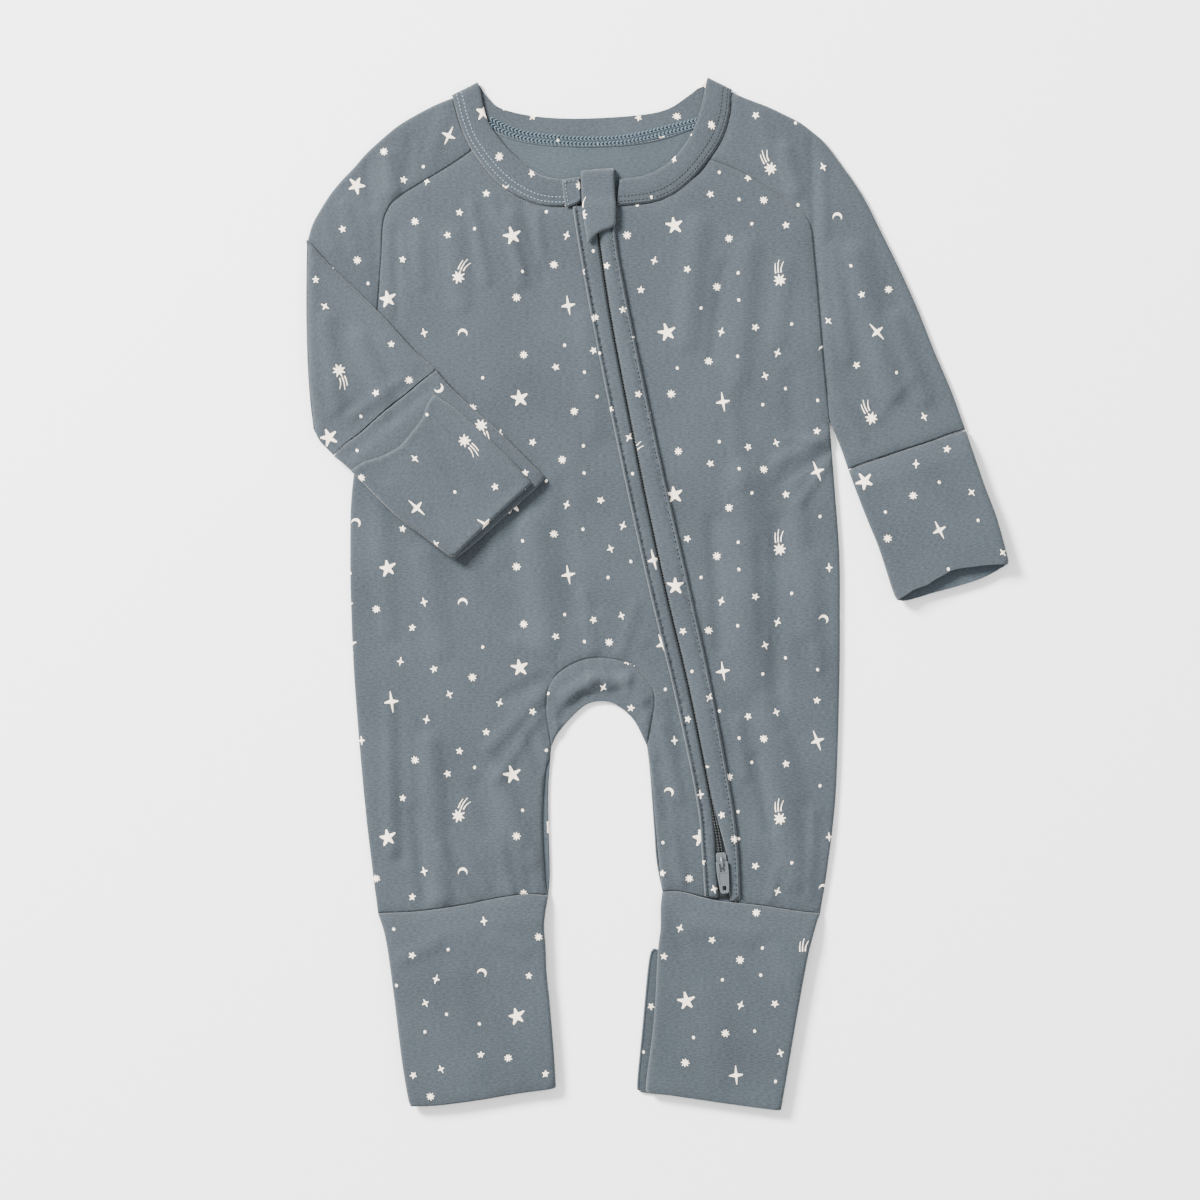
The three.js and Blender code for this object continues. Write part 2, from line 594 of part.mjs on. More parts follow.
function zipTape() {
  const rows = zipRows.map((row) => ({
    a: corner(row.slit - TAPE_HALF, row.y),
    b: corner(row.slit + TAPE_HALF, row.y),
  }));
  const notch = new THREE.BoxGeometry(SLIDER_BASE_WIDTH + 2 * SEAM, SLIDER_LENGTH + 2 * SEAM, 20);
  notch.rotateZ(ZIP_TILT);
  notch.translate(SLIDER_X, SLIDER_Y, 0);
  const margin = UNDERLAP + SEAM;
  const tape = flatPiece(
    rows.map(({ a, b }, i) => ({
      a: corner(Math.max(a.x, zipRows[i].slit - zipRows[i].leftWidth + margin), a.y),
      b: corner(Math.min(b.x, zipRows[i].slit + zipRows[i].rightWidth - margin), b.y),
    })),
    { low: level(FRONT_LOW), high: level(TAPE_TOP), roundBottom: false, roundTop: false },
  );
  return tape.subtract(toManifold(notch));
}

// Sleeves are cut to the armhole and the neckline, each layer to its own line
function sleeveCutters(side) {
  const lineOf = (table, step) => offsetLine(
    bodyRows(table, step).map((row) => (side < 0 ? row.a : row.b)),
    side < 0 ? -SEAM : SEAM,
  ).filter((p) => p.y > ARMPIT_Y - 2);
  const meetY = side < 0 ? RAGLAN_MEETS_BAND.left : RAGLAN_MEETS_BAND.right;
  const frontLine = lineOf(FRONT_ROWS).filter((p) => p.y < meetY);
  const backLine = lineOf(BACK_ROWS, PLAIN_STEP);
  const closeOff = (line, top) => [
    ...top,
    ...line,
    corner(0, line[line.length - 1].y - 1),
    corner(...SLEEVE_CUT.middle),
  ];
  const bandOuter = (table) => {
    const edge = offsetLine(outerEdge(table), SEAM);
    return side < 0 ? edge.reverse() : edge;
  };
  const frontBand = bandOuter(side < 0 ? BAND_LEFT : BAND_RIGHT).filter((p) => p.y > meetY);
  const backBand = offsetLine(backNeck, -1.5 * SEAM)
    .filter((p) => p.y > BACK_RAGLAN_MEETS_BAND && Math.sign(p.x - NECK_X) === side);
  const top = corner(...(side < 0 ? SLEEVE_CUT.left : SLEEVE_CUT.right));
  const backTop = side < 0 ? backBand : backBand.reverse();
  return cutFront(closeOff(frontLine, [top, ...frontBand]))
    .add(cutBack(closeOff(backLine, [top, ...backTop])));
}

function sleeveRight() {
  const levelsOf = (row, wall) => ({
    low: level(wall),
    high: (x, y) => frontHigh(x, y) - wall,
  });
  return flatTube(armRows(SLEEVE_RIGHT), CLOTH, levelsOf).subtract(sleeveCutters(1));
}

// The left sleeve is folded over on itself: its hidden layers are one rounded body
function sleeveLeft() {
  const upper = flatPiece(armRows(UPPER_ARM_LEFT), { low: level(0), high: frontHigh });
  const armHigh = (x, y) => ARM_TOP + foldHeight(FOREARM_FOLDS, x, y);
  const armLow = (x) => (x < ARM_JOIN_X ? FRONT_TOP - JOIN_SINK : ARM_LOW);
  const forearm = flatPiece(armRows(FOREARM_LEFT), { low: armLow, high: armHigh });
  const turn = flatPiece(armRows(ARM_FOLD), { low: level(0), high: level(ARM_TOP), step: 4 });
  const beyondFold = cutAll([
    ...armRows(ARM_FOLD).map((row) => row.b.clone().add(corner(1, 0))),
    corner(...FOLD_CUT.low),
    corner(...FOLD_CUT.high),
  ]);
  return upper.subtract(sleeveCutters(-1)).add(forearm).add(turn.subtract(beyondFold));
}

const cuffLevels = (row, wall) => ({
  low: level(row.lift + wall),
  high: level(row.lift + row.thick - wall),
});

function cuff(table) {
  const rows = fineRows(table, PLAIN_STEP).map((row) => ({
    a: corner(row.ax, row.ay),
    b: corner(row.bx, row.by),
    lift: row.lift,
    thick: row.thick,
  }));
  return flatTube(rows, DOUBLED, cuffLevels, PLAIN_STEP);
}

// An ankle cuff starts along the bowed seam of the leg
function ankleCuff(table, seamLine) {
  const above = offsetLine(fineLine(seamLine), -SEAM);
  const [first, ...rest] = table;
  const raised = [{ ...first, ay: first.ay + ANKLE_BOW, by: first.by + ANKLE_BOW }, ...rest];
  const top = [...above, corner(above[above.length - 1].x, FAR), corner(above[0].x, FAR)];
  return cuff(raised).subtract(cutAll(top));
}

function cover(table, low) {
  return flatPiece(armRows(table), { low: level(low), high: level(low + DOUBLED), step: PLAIN_STEP });
}

// The hand cover's mouth is an S across the cuff
function handCoverLeft() {
  const [first, last] = [HAND_COVER_LEFT[0], HAND_COVER_LEFT[HAND_COVER_LEFT.length - 1]];
  const a = corner(first.ax, first.ay);
  const b = corner(first.bx, first.by);
  const along = corner(last.ax - first.ax, last.ay - first.ay).normalize();
  const mouth = [];
  for (let k = 0; k <= HAND_MOUTH_STEPS; k += 1) {
    const t = k / HAND_MOUTH_STEPS;
    const wave = HAND_MOUTH_WAVE * (0.5 + 0.45 * Math.sin((t - 0.25) * 2 * Math.PI));
    mouth.push(a.clone().lerp(b, -0.05 + 1.1 * t).addScaledVector(along, wave));
  }
  const back = along.clone().multiplyScalar(-HAND_MOUTH_BACK);
  const outside = [...mouth, mouth[HAND_MOUTH_STEPS].clone().add(back), mouth[0].clone().add(back)];
  return cover(HAND_COVER_LEFT, HAND_LOW).subtract(cutAll(outside));
}

// The neckband is one strip that turns under at each shoulder
function neckband() {
  const rib = (row, outside, inside, push = 0) => {
    const inner = corner(row.ix, row.iy);
    const outer = corner(row.ox, row.oy);
    const away = corner(-(outer.y - inner.y), outer.x - inner.x).normalize().multiplyScalar(push);
    const middle = inner.clone().lerp(outer, 0.5);
    const at = (point, z, shift) => new THREE.Vector3(
      point.x + shift * away.x,
      point.y + shift * away.y,
      z,
    );
    return {
      upper: [inner, middle, outer].map((point) => at(point, outside, 1)),
      lower: [inner, middle, outer].map((point) => at(point, inside, 0)),
    };
  };
  const left = bandRows(BAND_LEFT).map((row) => rib(row, BAND_TOP, FRONT_LOW));
  const back = bandRows(BAND_BACK).map((row) => rib(row, 0, BACK_TOP));
  const right = bandRows(BAND_RIGHT).map((row) => rib(row, BAND_TOP, FRONT_LOW));
  const turnLeft = rib(BAND_BACK[0], BAND_TOP / 2, (BACK_TOP + FRONT_LOW) / 2, -BAND_TOP / 2);
  const turnRight = rib(BAND_RIGHT[0], BAND_TOP / 2, (BACK_TOP + FRONT_LOW) / 2, BAND_TOP / 2);
  return loft([...left, turnLeft, ...back, turnRight, ...right]);
}

function garage() {
  const rows = fineRows(GARAGE_ROWS, FINE_STEP).map((row) => ({
    a: corner(row.left, row.y),
    b: corner(row.right, row.y),
    levels: { low: level(row.low), high: level(row.low + GARAGE_THICK) },
  }));
  return flatPiece(rows, { step: 8, roundBottom: false });
}

// Slider: two plates on a post, with an arch that holds the pull tab

function block(width, length, low, high, y = 0) {
  const geometry = new THREE.BoxGeometry(width, length, high - low);
  geometry.translate(0, y, (low + high) / 2);
  return toManifold(geometry);
}

function sliderBody() {
  const archTop = SLIDER_TOP + ARCH_ROOM;
  const arch = block(ARCH_WIDTH, 2 * ARCH_HALF_LENGTH, archTop, archTop + ARCH_BAR);
  const legY = ARCH_HALF_LENGTH - ARCH_BAR / 2;
  const leg = (y) => block(ARCH_WIDTH, ARCH_BAR, SLIDER_TOP - ARCH_SINK, archTop + ARCH_SINK, y);
  return block(SLIDER_BASE_WIDTH, SLIDER_LENGTH, FRONT_LOW, FRONT_LOW + SLIDER_PLATE)
    .add(block(SLIDER_POST, SLIDER_POST * 2, FRONT_LOW, SLIDER_TOP, POST_Y))
    .add(block(SLIDER_WIDTH, SLIDER_LENGTH, SLIDER_UPPER_LOW, SLIDER_TOP))
    .add(arch)
    .add(leg(legY))
    .add(leg(-legY));
}

// The pull tab lies towards the ankle; its upper bar runs under the arch
function pullTab() {
  const bar = PULL_THICK / 2;
  const half = PULL_WIDTH / 2;
  const tipHalf = PULL_TIP_WIDTH / 2;
  const outline = new THREE.Shape([
    corner(-half, bar),
    corner(-half, PULL_WAIST_Y),
    corner(-tipHalf, PULL_CHAMFER - PULL_LENGTH),
    corner(PULL_CHAMFER - tipHalf, -PULL_LENGTH),
    corner(tipHalf - PULL_CHAMFER, -PULL_LENGTH),
    corner(tipHalf, PULL_CHAMFER - PULL_LENGTH),
    corner(half, PULL_WAIST_Y),
    corner(half, bar),
  ]);
  const opening = (halfWidth, top, bottom) => new THREE.Path([
    corner(-halfWidth, top),
    corner(-halfWidth, bottom),
    corner(halfWidth, bottom),
    corner(halfWidth, top),
  ]);
  outline.holes.push(opening(PULL_SLOT_WIDTH / 2, -bar, -bar - PULL_SLOT_LENGTH));
  outline.holes.push(opening(
    PULL_WINDOW.halfWidth,
    PULL_WINDOW.toTip - PULL_LENGTH,
    PULL_WINDOW.fromTip - PULL_LENGTH,
  ));
  const geometry = new THREE.ExtrudeGeometry(outline, { depth: PULL_THICK, bevelEnabled: false });
  geometry.translate(0, 0, -PULL_THICK / 2);
  return toManifold(geometry);
}

function meshOf(name, solid, material) {
  const { vertProperties, triVerts } = solid.getMesh();
  const geometry = new THREE.BufferGeometry();
  geometry.setAttribute('position', new THREE.BufferAttribute(vertProperties, 3));
  geometry.setIndex(new THREE.BufferAttribute(triVerts, 1));
  const mesh = new THREE.Mesh(geometry, new THREE.MeshStandardMaterial(MATERIALS[material]));
  mesh.name = name;
  return mesh;
}

// Assembly
const suit = new THREE.Group();
const sheet = frontSheet();
const gussetLine = fineLine(GUSSET_SEAM, FINE_STEP);
const gussetInside = cutAll(offsetLine(gussetLine, -SEAM / 2));
const gussetOutside = cutAll(offsetLine(gussetLine, SEAM / 2));

suit.add(meshOf('back', backPiece(), 'jersey'));
suit.add(meshOf('front_left', sheet.subtract(besideZip(-1)).subtract(gussetOutside), 'jersey'));
suit.add(meshOf('front_right', sheet.subtract(besideZip(1)), 'jersey'));
suit.add(meshOf('gusset', sheet.intersect(gussetInside), 'jersey'));
suit.add(meshOf('sleeve_left', sleeveLeft(), 'jersey'));
suit.add(meshOf('sleeve_right', sleeveRight(), 'jersey'));
suit.add(meshOf('neckband', neckband(), 'jersey'));
suit.add(meshOf('placket_left', placket(-1), 'jersey'));
suit.add(meshOf('placket_right', placket(1), 'jersey'));
suit.add(meshOf('zip_tape', zipTape(), 'tape'));
suit.add(meshOf('zip_garage', garage(), 'jersey'));
suit.add(meshOf('cuff_left', cuff(CUFF_LEFT), 'jerseyShade'));
suit.add(meshOf('cuff_right', cuff(CUFF_RIGHT), 'jerseyShade'));
suit.add(meshOf('hand_cover_left', handCoverLeft(), 'jersey'));
suit.add(meshOf('hand_cover_right', cover(HAND_COVER_RIGHT, 0), 'jersey'));
suit.add(meshOf('ankle_cuff_left', ankleCuff(ANKLE_CUFF_LEFT, ANKLE_LEFT), 'jerseyShade'));
suit.add(meshOf('ankle_cuff_right', ankleCuff(ANKLE_CUFF_RIGHT, ANKLE_RIGHT), 'jerseyShade'));
suit.add(meshOf('foot_cover_left', cover(FOOT_COVER_LEFT, 0), 'jersey'));
suit.add(meshOf('foot_cover_right', cover(FOOT_COVER_RIGHT, 0), 'jersey'));

const slider = new THREE.Group();
slider.position.set(SLIDER_X, SLIDER_Y, 0);
slider.rotation.z = ZIP_TILT;
slider.add(meshOf('slider', sliderBody(), 'metal'));
const pull = meshOf('pull_tab', pullTab(), 'metal');
pull.position.z = PIVOT_Z;
slider.add(pull);
suit.add(slider);

export default suit;
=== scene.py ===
import json
import math
import random

import bmesh
import bpy
import numpy as np
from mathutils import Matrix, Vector, noise
from mathutils.bvhtree import BVHTree
from mathutils.geometry import delaunay_2d_cdt

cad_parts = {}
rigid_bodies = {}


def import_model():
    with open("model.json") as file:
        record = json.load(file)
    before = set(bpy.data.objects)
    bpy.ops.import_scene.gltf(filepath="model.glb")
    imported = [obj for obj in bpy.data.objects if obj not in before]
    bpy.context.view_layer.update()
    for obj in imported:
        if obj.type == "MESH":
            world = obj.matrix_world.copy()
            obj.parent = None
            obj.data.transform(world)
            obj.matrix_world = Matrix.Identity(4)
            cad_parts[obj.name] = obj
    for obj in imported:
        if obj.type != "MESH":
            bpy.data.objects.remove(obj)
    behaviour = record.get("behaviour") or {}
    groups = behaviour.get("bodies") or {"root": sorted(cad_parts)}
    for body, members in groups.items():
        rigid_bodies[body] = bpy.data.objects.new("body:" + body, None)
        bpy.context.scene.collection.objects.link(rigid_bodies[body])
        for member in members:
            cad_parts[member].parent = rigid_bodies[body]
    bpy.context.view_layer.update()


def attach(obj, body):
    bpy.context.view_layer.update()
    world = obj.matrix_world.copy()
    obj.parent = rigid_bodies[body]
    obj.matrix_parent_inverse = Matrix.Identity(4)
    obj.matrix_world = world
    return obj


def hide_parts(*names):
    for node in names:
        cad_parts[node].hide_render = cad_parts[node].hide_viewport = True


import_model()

MM = 0.001

# Levels of the layers, in millimetres above the floor
CLOTH = 1.2
AIR = 0.3
BACK_TOP = CLOTH
FRONT_LOW = BACK_TOP + AIR
FRONT_TOP = FRONT_LOW + CLOTH
BAND_TOP = FRONT_LOW + 1.8
ARM_LOW = FRONT_TOP + 0.5
ARM_TOP = ARM_LOW + 2 * CLOTH + AIR
CUFF_THICK = 3.9
HAND_LOW = ARM_LOW + CUFF_THICK + AIR
COVER_THICK = 1.8
PLACKET_TOP = FRONT_TOP + AIR + 1.6
TAPE_TOP = FRONT_LOW + 1.0
UNDERSIDE = 0.02  # pieces on the floor start this high
WALL = 1.0  # usual thickness of a cloth shell

# Mesh steps in millimetres
EDGE_STEP = 1.6
GRID_STEP = 2.4
UNDER_STEP = 3.2
ROW_SHARE = 0.866  # row height of an even triangular grid, for a step of 1
RING_OFFSETS = (0.22, 0.6, 1.15, 1.9)
RING_KEPT = 0.93  # a ring's points that come nearer to the outline than this share are left out

# Shape of the cloth's edges and seams, in millimetres
ROLL = 2.1  # how far the rounding of an outer edge reaches in
FADE_IN = 5  # folds reach their full height this far from an outer edge
CLEFT_DEPTH = 0.85
CLEFT_HALF = 0.55
GATHER = 3.6  # spacing of the small gathers beside a seam
RELIEF = [(26, 34, 0.22, 0), (9, 12, 0.10, 7)]  # width, length, height and step in the seed
BAND_WIDTH = 15.2
BAND_STITCH_ROWS = (2.4, 5.2)  # in from the band's outer edge
PLACKET_STITCH_IN = 2.1
UNDERLAP = 1.6  # how far the front runs in under a placket's lip
TAPE_HALF = 6.0

FAR = 1e6  # stands for the distance to something that isn't there
POINTS_AT_ONCE = 3000

# Seam and edge lines of the pieces, in plan
BAND_EDGE_LEFT = [
    (-44.2, 213.6), (-57, 213), (-70, 215.4), (-79, 219.3), (-87, 225.5), (-95, 234.4), (-102, 244),
]
BAND_EDGE_RIGHT = [
    (28.6, 239), (24.4, 232.6), (17.5, 227), (10, 221), (1, 216.5), (-9, 214.3), (-22.5, 213.4),
]
RAGLAN_LEFT = [
    (-102, 244), (-110.8, 237.8), (-121.3, 231.2), (-131.7, 225), (-143.6, 217.4), (-148.6, 211),
    (-151, 203), (-152, 184), (-154, 156), (-157, 126), (-162, 95),
]
RAGLAN_RIGHT = [
    (94.5, 95), (91.5, 126), (89, 156), (86.5, 184), (84.6, 201), (81, 208.5), (74.5, 213.4),
    (67.4, 218.6), (57, 225.4), (48, 230.8), (39, 235.1), (28.6, 239),
]
SIDE_LEFT = [
    (-162, 95), (-168, 57), (-169, 22), (-168.4, -10), (-166.5, -50), (-161.5, -110), (-157, -150),
    (-153.7, -175.4),
]
SIDE_RIGHT = [
    (89.4, -175.5), (93.5, -150), (98, -110), (100, -50), (100.3, -10), (100, 22), (97.5, 57),
    (94.5, 95),
]
ANKLE_LEFT = [(-153.7, -175.4), (-133, -174.5), (-110, -171.5), (-87, -167), (-72, -165), (-60, -165.6)]
INSEAM_LEFT = [(-60, -165.6), (-59.2, -153), (-59.8, -130), (-60, -107), (-58.4, -84)]
INSEAM_LEFT_FRONT = [
    (-60, -165.6), (-61.6, -160), (-62.6, -147), (-63.4, -124), (-62.2, -100), (-60, -91), (-58.4, -84),
]
INSEAM_RIGHT_FRONT = [(-5.8, -84), (-3.6, -98.5), (-0.8, -130), (0.8, -147), (2.6, -163.6)]
CROTCH = [
    (-58.4, -84), (-54.7, -76.5), (-47, -67.5), (-39, -60.8), (-31, -59), (-22.8, -60.8),
    (-13.5, -68.8), (-7, -81), (-5.8, -84),
]
INSEAM_RIGHT = [(-5.8, -84), (-4.2, -98.5), (-1.9, -130), (-0.6, -147), (2.6, -163.6)]
GUSSET_SEAM = [
    (-58.4, -84), (-61.2, -62), (-58, -47.5), (-46, -38), (-32, -35), (-15, -38.5), (-4.5, -49.5),
    (-1.8, -60), (-5.8, -84),
]
ANKLE_RIGHT = [
    (2.6, -163.6), (10, -163.3), (17, -164.6), (24, -166.7), (36, -169), (55, -171), (78, -174.4),
    (89.4, -175.5),
]
BACK_NECK = [
    (24.5, 258.5), (3, 251), (-16, 247.6), (-36, 246.6), (-54, 247), (-66, 248), (-80, 250.8),
    (-95.5, 257),
]

# Zip, from the neck down: y, then x of the slit and of the left and right placket's stitched edge
ZIP_ROWS = [
    (213, -35.2, -46.7, -24.2),
    (190, -31.6, -43.1, -22.1),
    (145, -24.5, -35, -13.5),
    (68, -9.6, -19.1, 2.9),
    (2, 4.5, -4.5, 18),
    (-53, 17.4, 8.9, 29.9),
    (-113, 29.4, 21.4, 40.8),
    (-141, 34.6, 24.2, 44.2),
    (-167, 36.6, 26, 45.4),
]
SLIDER_AT = (35.2, -147.5)
SLIDER_TURN = math.radians(6)
HINGE_HEIGHT = 5.35
SLIT_HALF = 0.6
SLIT_OPEN_HALF = 3.0
SLIT_OPEN_FROM = -112.0

# Neckband ribs: inner edge x, y and outer edge x, y
BAND_LEFT_RIBS = [
    (-41.8, 228, -44.2, 213.8), (-56, 228.2, -57, 213), (-66, 231, -70, 215.4),
    (-77, 239.5, -87, 225.5), (-87.5, 251, -102, 244), (-94, 262, -108.6, 258.5),
    (-98.2, 280, -112.5, 272.8),
]
BAND_BACK_RIBS = [
    (-98.2, 280, -112.5, 272.8), (-93.2, 273, -103, 262.5), (-85.5, 266.8, -92, 254),
    (-65, 262.4, -66, 248), (-36, 261.6, -36, 246.6), (0.3, 265, 3, 251), (17, 274, 28, 262),
    (27, 282.6, 40.4, 276),
]
BAND_RIGHT_RIBS = [
    (27, 282.6, 40.4, 276), (24, 268, 39.2, 262), (18, 252, 33.5, 247), (7, 238, 17.5, 227),
    (-6, 230.5, 1, 216.5), (-20.8, 227.8, -22.5, 213.4),
]

# Soft folds of the upper layer, as ridges (+) and troughs (-): x1, y1, x2, y2, half width, height
BODY_FOLDS = [
    (-68, 38, -62, -24, 13, 1.8), (-125, -82, -119, -166, 9, 1.8), (-88, -100, -70, -146, 8, 1.4),
    (-146, -60, -145, -140, 7, 1.2), (48, 62, 50, -50, 15, 2.2), (60, -62, 76, -156, 11, 1.9),
    (76, 66, 82, -20, 8, 1.1), (-81, 208, -75, 172, 6, 1.2), (-112, 196, -108, 160, 9, 1.1),
    (22, 202, 16, 140, 10, 1.3), (50, 190, 44, 120, 10, 1.2), (92, 86, 66, 72, 7, 1.4),
]
BODY_CREASES = [
    (-144, -58, -141, -146, 6, -1.0), (-98, -106, -92, -128, 9, -1.0), (-70, -78, -64, -96, 5, -1.0),
    (-120, -140, -100, -172, 4.5, 1.1), (-112, -132, -94, -160, 4, 0.8), (-102, 214, -94, 172, 5, 1.0),
    (-92, 218, -74, 178, 4, 0.9), (-66, 210, -64, 182, 4, 0.8), (-74, 214, -62, 172, 3.5, -0.7),
    (30, 40, 34, -30, 6, -1.0), (66, 40, 66, -60, 7, -1.0), (88, 84, 72, 86, 4, 1.0),
    (92, 70, 78, 50, 4, 0.9), (94, 78, 66, 60, 3.5, -0.8), (-40, 150, -34, 90, 9, 0.8),
    (54, -90, 62, -130, 5, -1.0), (86, -120, 84, -165, 4, 1.0), (-30, -12, -8, -26, 6, 0.8),
    (-128, 20, -120, -30, 10, 0.9), (36, 180, 30, 130, 5, -0.8), (70, 180, 66, 140, 8, 0.8),
    (-52, 60, -46, -10, 8, -0.8), (-64, -56, -92, -84, 6, 1.1), (-66, -68, -88, -102, 4.5, 0.9),
    (-62, -46, -84, -58, 6, -0.9), (-60, -34, -78, -26, 6, 0.8), (-36, -30, -40, 0, 6, 0.8),
    (-20, -32, -12, -6, 5, 0.7), (2, -72, 12, -112, 4.5, 1.0), (0, -92, 8, -140, 3.5, -0.8),
    (8, -60, 14, -90, 4, -0.8), (6, -128, 14, -158, 4, 1.0), (-134, -120, -128, -168, 5, -0.9),
    (-86, -140, -80, -166, 4, 0.9), (-72, -140, -70, -162, 4, -0.7), (66, -150, 62, -168, 4, 0.8),
    (-154, 60, -148, -20, 8, 0.8), (-116, 60, -108, 0, 9, -0.7), (-94, 90, -88, 20, 10, 0.7),
    (86, 20, 88, -40, 6, 0.8), (40, 110, 46, 60, 7, 0.7), (74, 120, 76, 70, 8, -0.7),
    (56, 30, 58, -20, 5, -0.6), (-132, 200, -130, 170, 6, 0.7), (-144, 200, -143, 150, 4, -0.8),
    (-150, 90, -140, 60, 5, 0.7), (20, -10, 24, -50, 4, 0.8), (70, -80, 78, -110, 6, 0.8),
    (44, -70, 48, -100, 5, 0.9),
]
GUSSET_FOLDS = [
    (-50, -56, -36, -47, 6.5, 1.7), (-36, -47, -18, -47, 6, 1.5), (-18, -47, -8, -58, 5.5, 1.6),
    (-52, -67, -41, -57, 5, -1.6), (-41, -57, -22, -55.5, 4.5, -1.9), (-22, -55.5, -11, -67, 5, -1.6),
    (-30, -40, -27, -54, 3, 0.5), (-44, -45, -41, -55, 3, 0.4), (-15, -45, -17, -54, 3, 0.5),
    (-56, -66, -55, -78, 3, 0.5), (-6, -66, -6, -78, 3, 0.5),
]
SLEEVE_RIGHT_FOLDS = [
    (70, 244, 76, 222, 7, 1.5), (108, 186, 128, 112, 11, 1.9), (130, 150, 146, 108, 8, 1.3),
    (84.6, 256, 85.6, 202, 2.2, -1.0), (85.6, 202, 93, 110, 3.2, -0.9), (97, 190, 104, 130, 6, 0.8),
    (91, 236, 92, 196, 3.5, 0.7), (100, 106, 112, 86, 5, 0.8), (118, 200, 132, 160, 6, -0.5),
    (140, 120, 120, 96, 5, 0.5), (56, 264, 62, 244, 5, 0.5),
]
UPPER_ARM_FOLDS = [
    (-148, 240, -146, 222, 7, 1.5), (-136, 250, -137, 230, 4, -0.7), (-160, 236, -157, 214, 5, -0.7),
    (-118, 262, -124, 240, 6, 0.6), (-172, 214, -166, 190, 6, 0.7), (-156, 206, -155, 176, 4, -0.6),
    (-182, 204, -178, 190, 4, 0.4),
]
FOREARM_FOLDS = [
    (-182, 150, -176, 100, 7, 1.1), (-164, 140, -150, 108, 8, 1.3), (-168, 98, -140, 118, 5, 0.9),
    (-187, 176, -170, 150, 5, -0.5), (-178, 96, -166, 104, 4, -0.6), (-150, 140, -134, 124, 5, 0.6),
]
CUFF_LEFT_FOLDS = [
    (-173, 74, -146, 96, 5, -0.8), (-146, 96, -125, 113, 5, -0.8), (-122, 84, -108, 58, 8, -0.6),
    (-146, 60, -128, 46, 6, 0.5), (-96, 74, -86, 62, 6, 0.5),
]
# Base colours, in sRGB
DYED_BLUE_GREY = "333a3f"
INSIDE_BLUE_GREY = "353d43"
INK_CREAM = "f3e3d1"
THREAD_DARK = "171c1f"
THREAD_LIGHT = "6c7c86"
CHAIN_LIGHT = "4c606d"
TAPE_DARK = "15191b"
COIL_DARK = "1d2224"
METAL_GREY = "5b6164"


def smooth_line(points, step=EDGE_STEP):
    """A smooth open line through the points, at even steps."""
    pts = np.array(points, float)
    if len(pts) == 2:
        count = max(1, int(round(np.linalg.norm(pts[1] - pts[0]) / step)))
        return pts[0] + (pts[1] - pts[0]) * np.linspace(0, 1, count + 1)[:, None]
    ext = np.vstack([2 * pts[0] - pts[1], pts, 2 * pts[-1] - pts[-2]])
    runs = []
    for i in range(1, len(ext) - 2):
        before, start, end, after = ext[i - 1:i + 3]
        count = max(1, int(round(np.linalg.norm(end - start) / step)))
        t = np.linspace(0, 1, count, endpoint=False)[:, None]
        runs.append(0.5 * (2 * start + (end - before) * t
                           + (2 * before - 5 * start + 4 * end - after) * t ** 2
                           + (3 * start - before - 3 * end + after) * t ** 3))
    runs.append(pts[-1:])
    return np.vstack(runs)


def distance_to(points, line):
    """Distance of every point to a polyline."""
    best = np.full(len(points), FAR)
    if len(line) < 2:
        return best
    a, b = line[:-1], line[1:]
    along = b - a
    length2 = np.maximum((along ** 2).sum(1), 1e-12)
    for first in range(0, len(points), POINTS_AT_ONCE):
        p = points[first:first + POINTS_AT_ONCE, None, :]
        t = np.clip(((p - a) * along).sum(2) / length2, 0, 1)
        away = p - a - t[..., None] * along
        best[first:first + POINTS_AT_ONCE] = np.sqrt((away ** 2).sum(2)).min(1)
    return best


def inside(points, loop):
    """Whether each point lies inside the closed loop."""
    x, y = points[:, 0], points[:, 1]
    hit = np.zeros(len(points), bool)
    for (x1, y1), (x2, y2) in zip(loop, np.roll(loop, -1, axis=0)):
        if y1 == y2:
            continue
        cross = (y1 > y) != (y2 > y)
        hit ^= cross & (x < (x2 - x1) * (y - y1) / (y2 - y1) + x1)
    return hit


def folds_at(points, folds):
    """Height of soft ridges and troughs."""
    height = np.zeros(len(points))
    for x1, y1, x2, y2, wide, high in folds:
        start = np.array((x1, y1))
        along = np.array((x2 - x1, y2 - y1))
        t = np.clip(((points - start) @ along) / (along @ along), 0, 1)
        away = np.linalg.norm(points - start - t[:, None] * along, axis=1) / wide
        height += np.where(away < 1, high * (1 - away ** 2) ** 2, 0)
    return height


def fine_relief(points, seed=0.0):
    """Small unevenness of cloth that has been smoothed by hand."""
    return np.array([
        sum(high * noise.noise(Vector((x / wide, y / long, seed + step)))
            for wide, long, high, step in RELIEF)
        for x, y in points
    ])


def rounded(distance, reach=ROLL):
    """Share of its height that a rounded edge has at a distance from the outline."""
    t = np.clip(1 - distance / reach, 0, 1)
    return np.sqrt(np.maximum(0, 1 - t ** 2))


def ridge(distance, at, wide, high):
    """Height of a soft ridge that runs at a distance from a line; a negative height is a groove."""
    return high * np.exp(-((distance - at) / wide) ** 2)


def roll_drop(distance, height, reach=ROLL):
    """Drop of a rounded edge at a distance from the outline."""
    return height * (1 - rounded(distance, reach))


def seam_dip(distance, depth=0.5, wide=2.4):
    """A soft valley beside a seam with a narrow cleft at it; a negative depth only swells."""
    cleft = CLEFT_DEPTH * np.clip(1 - distance / CLEFT_HALF, 0, 1) ** 1.3
    return ridge(distance, 0, wide, depth) + (cleft if depth > 0 else 0)


def pucker(points, distance, amount=0.16, reach=5.0):
    """Small gathers beside a sewn line."""
    ripple = np.array([noise.noise(Vector((x / GATHER, y / GATHER, 50.0))) for x, y in points])
    return amount * ripple * ridge(distance, 0, reach, 1.0)


# Print: a scattered repeat of small night-sky motifs, set out by rule

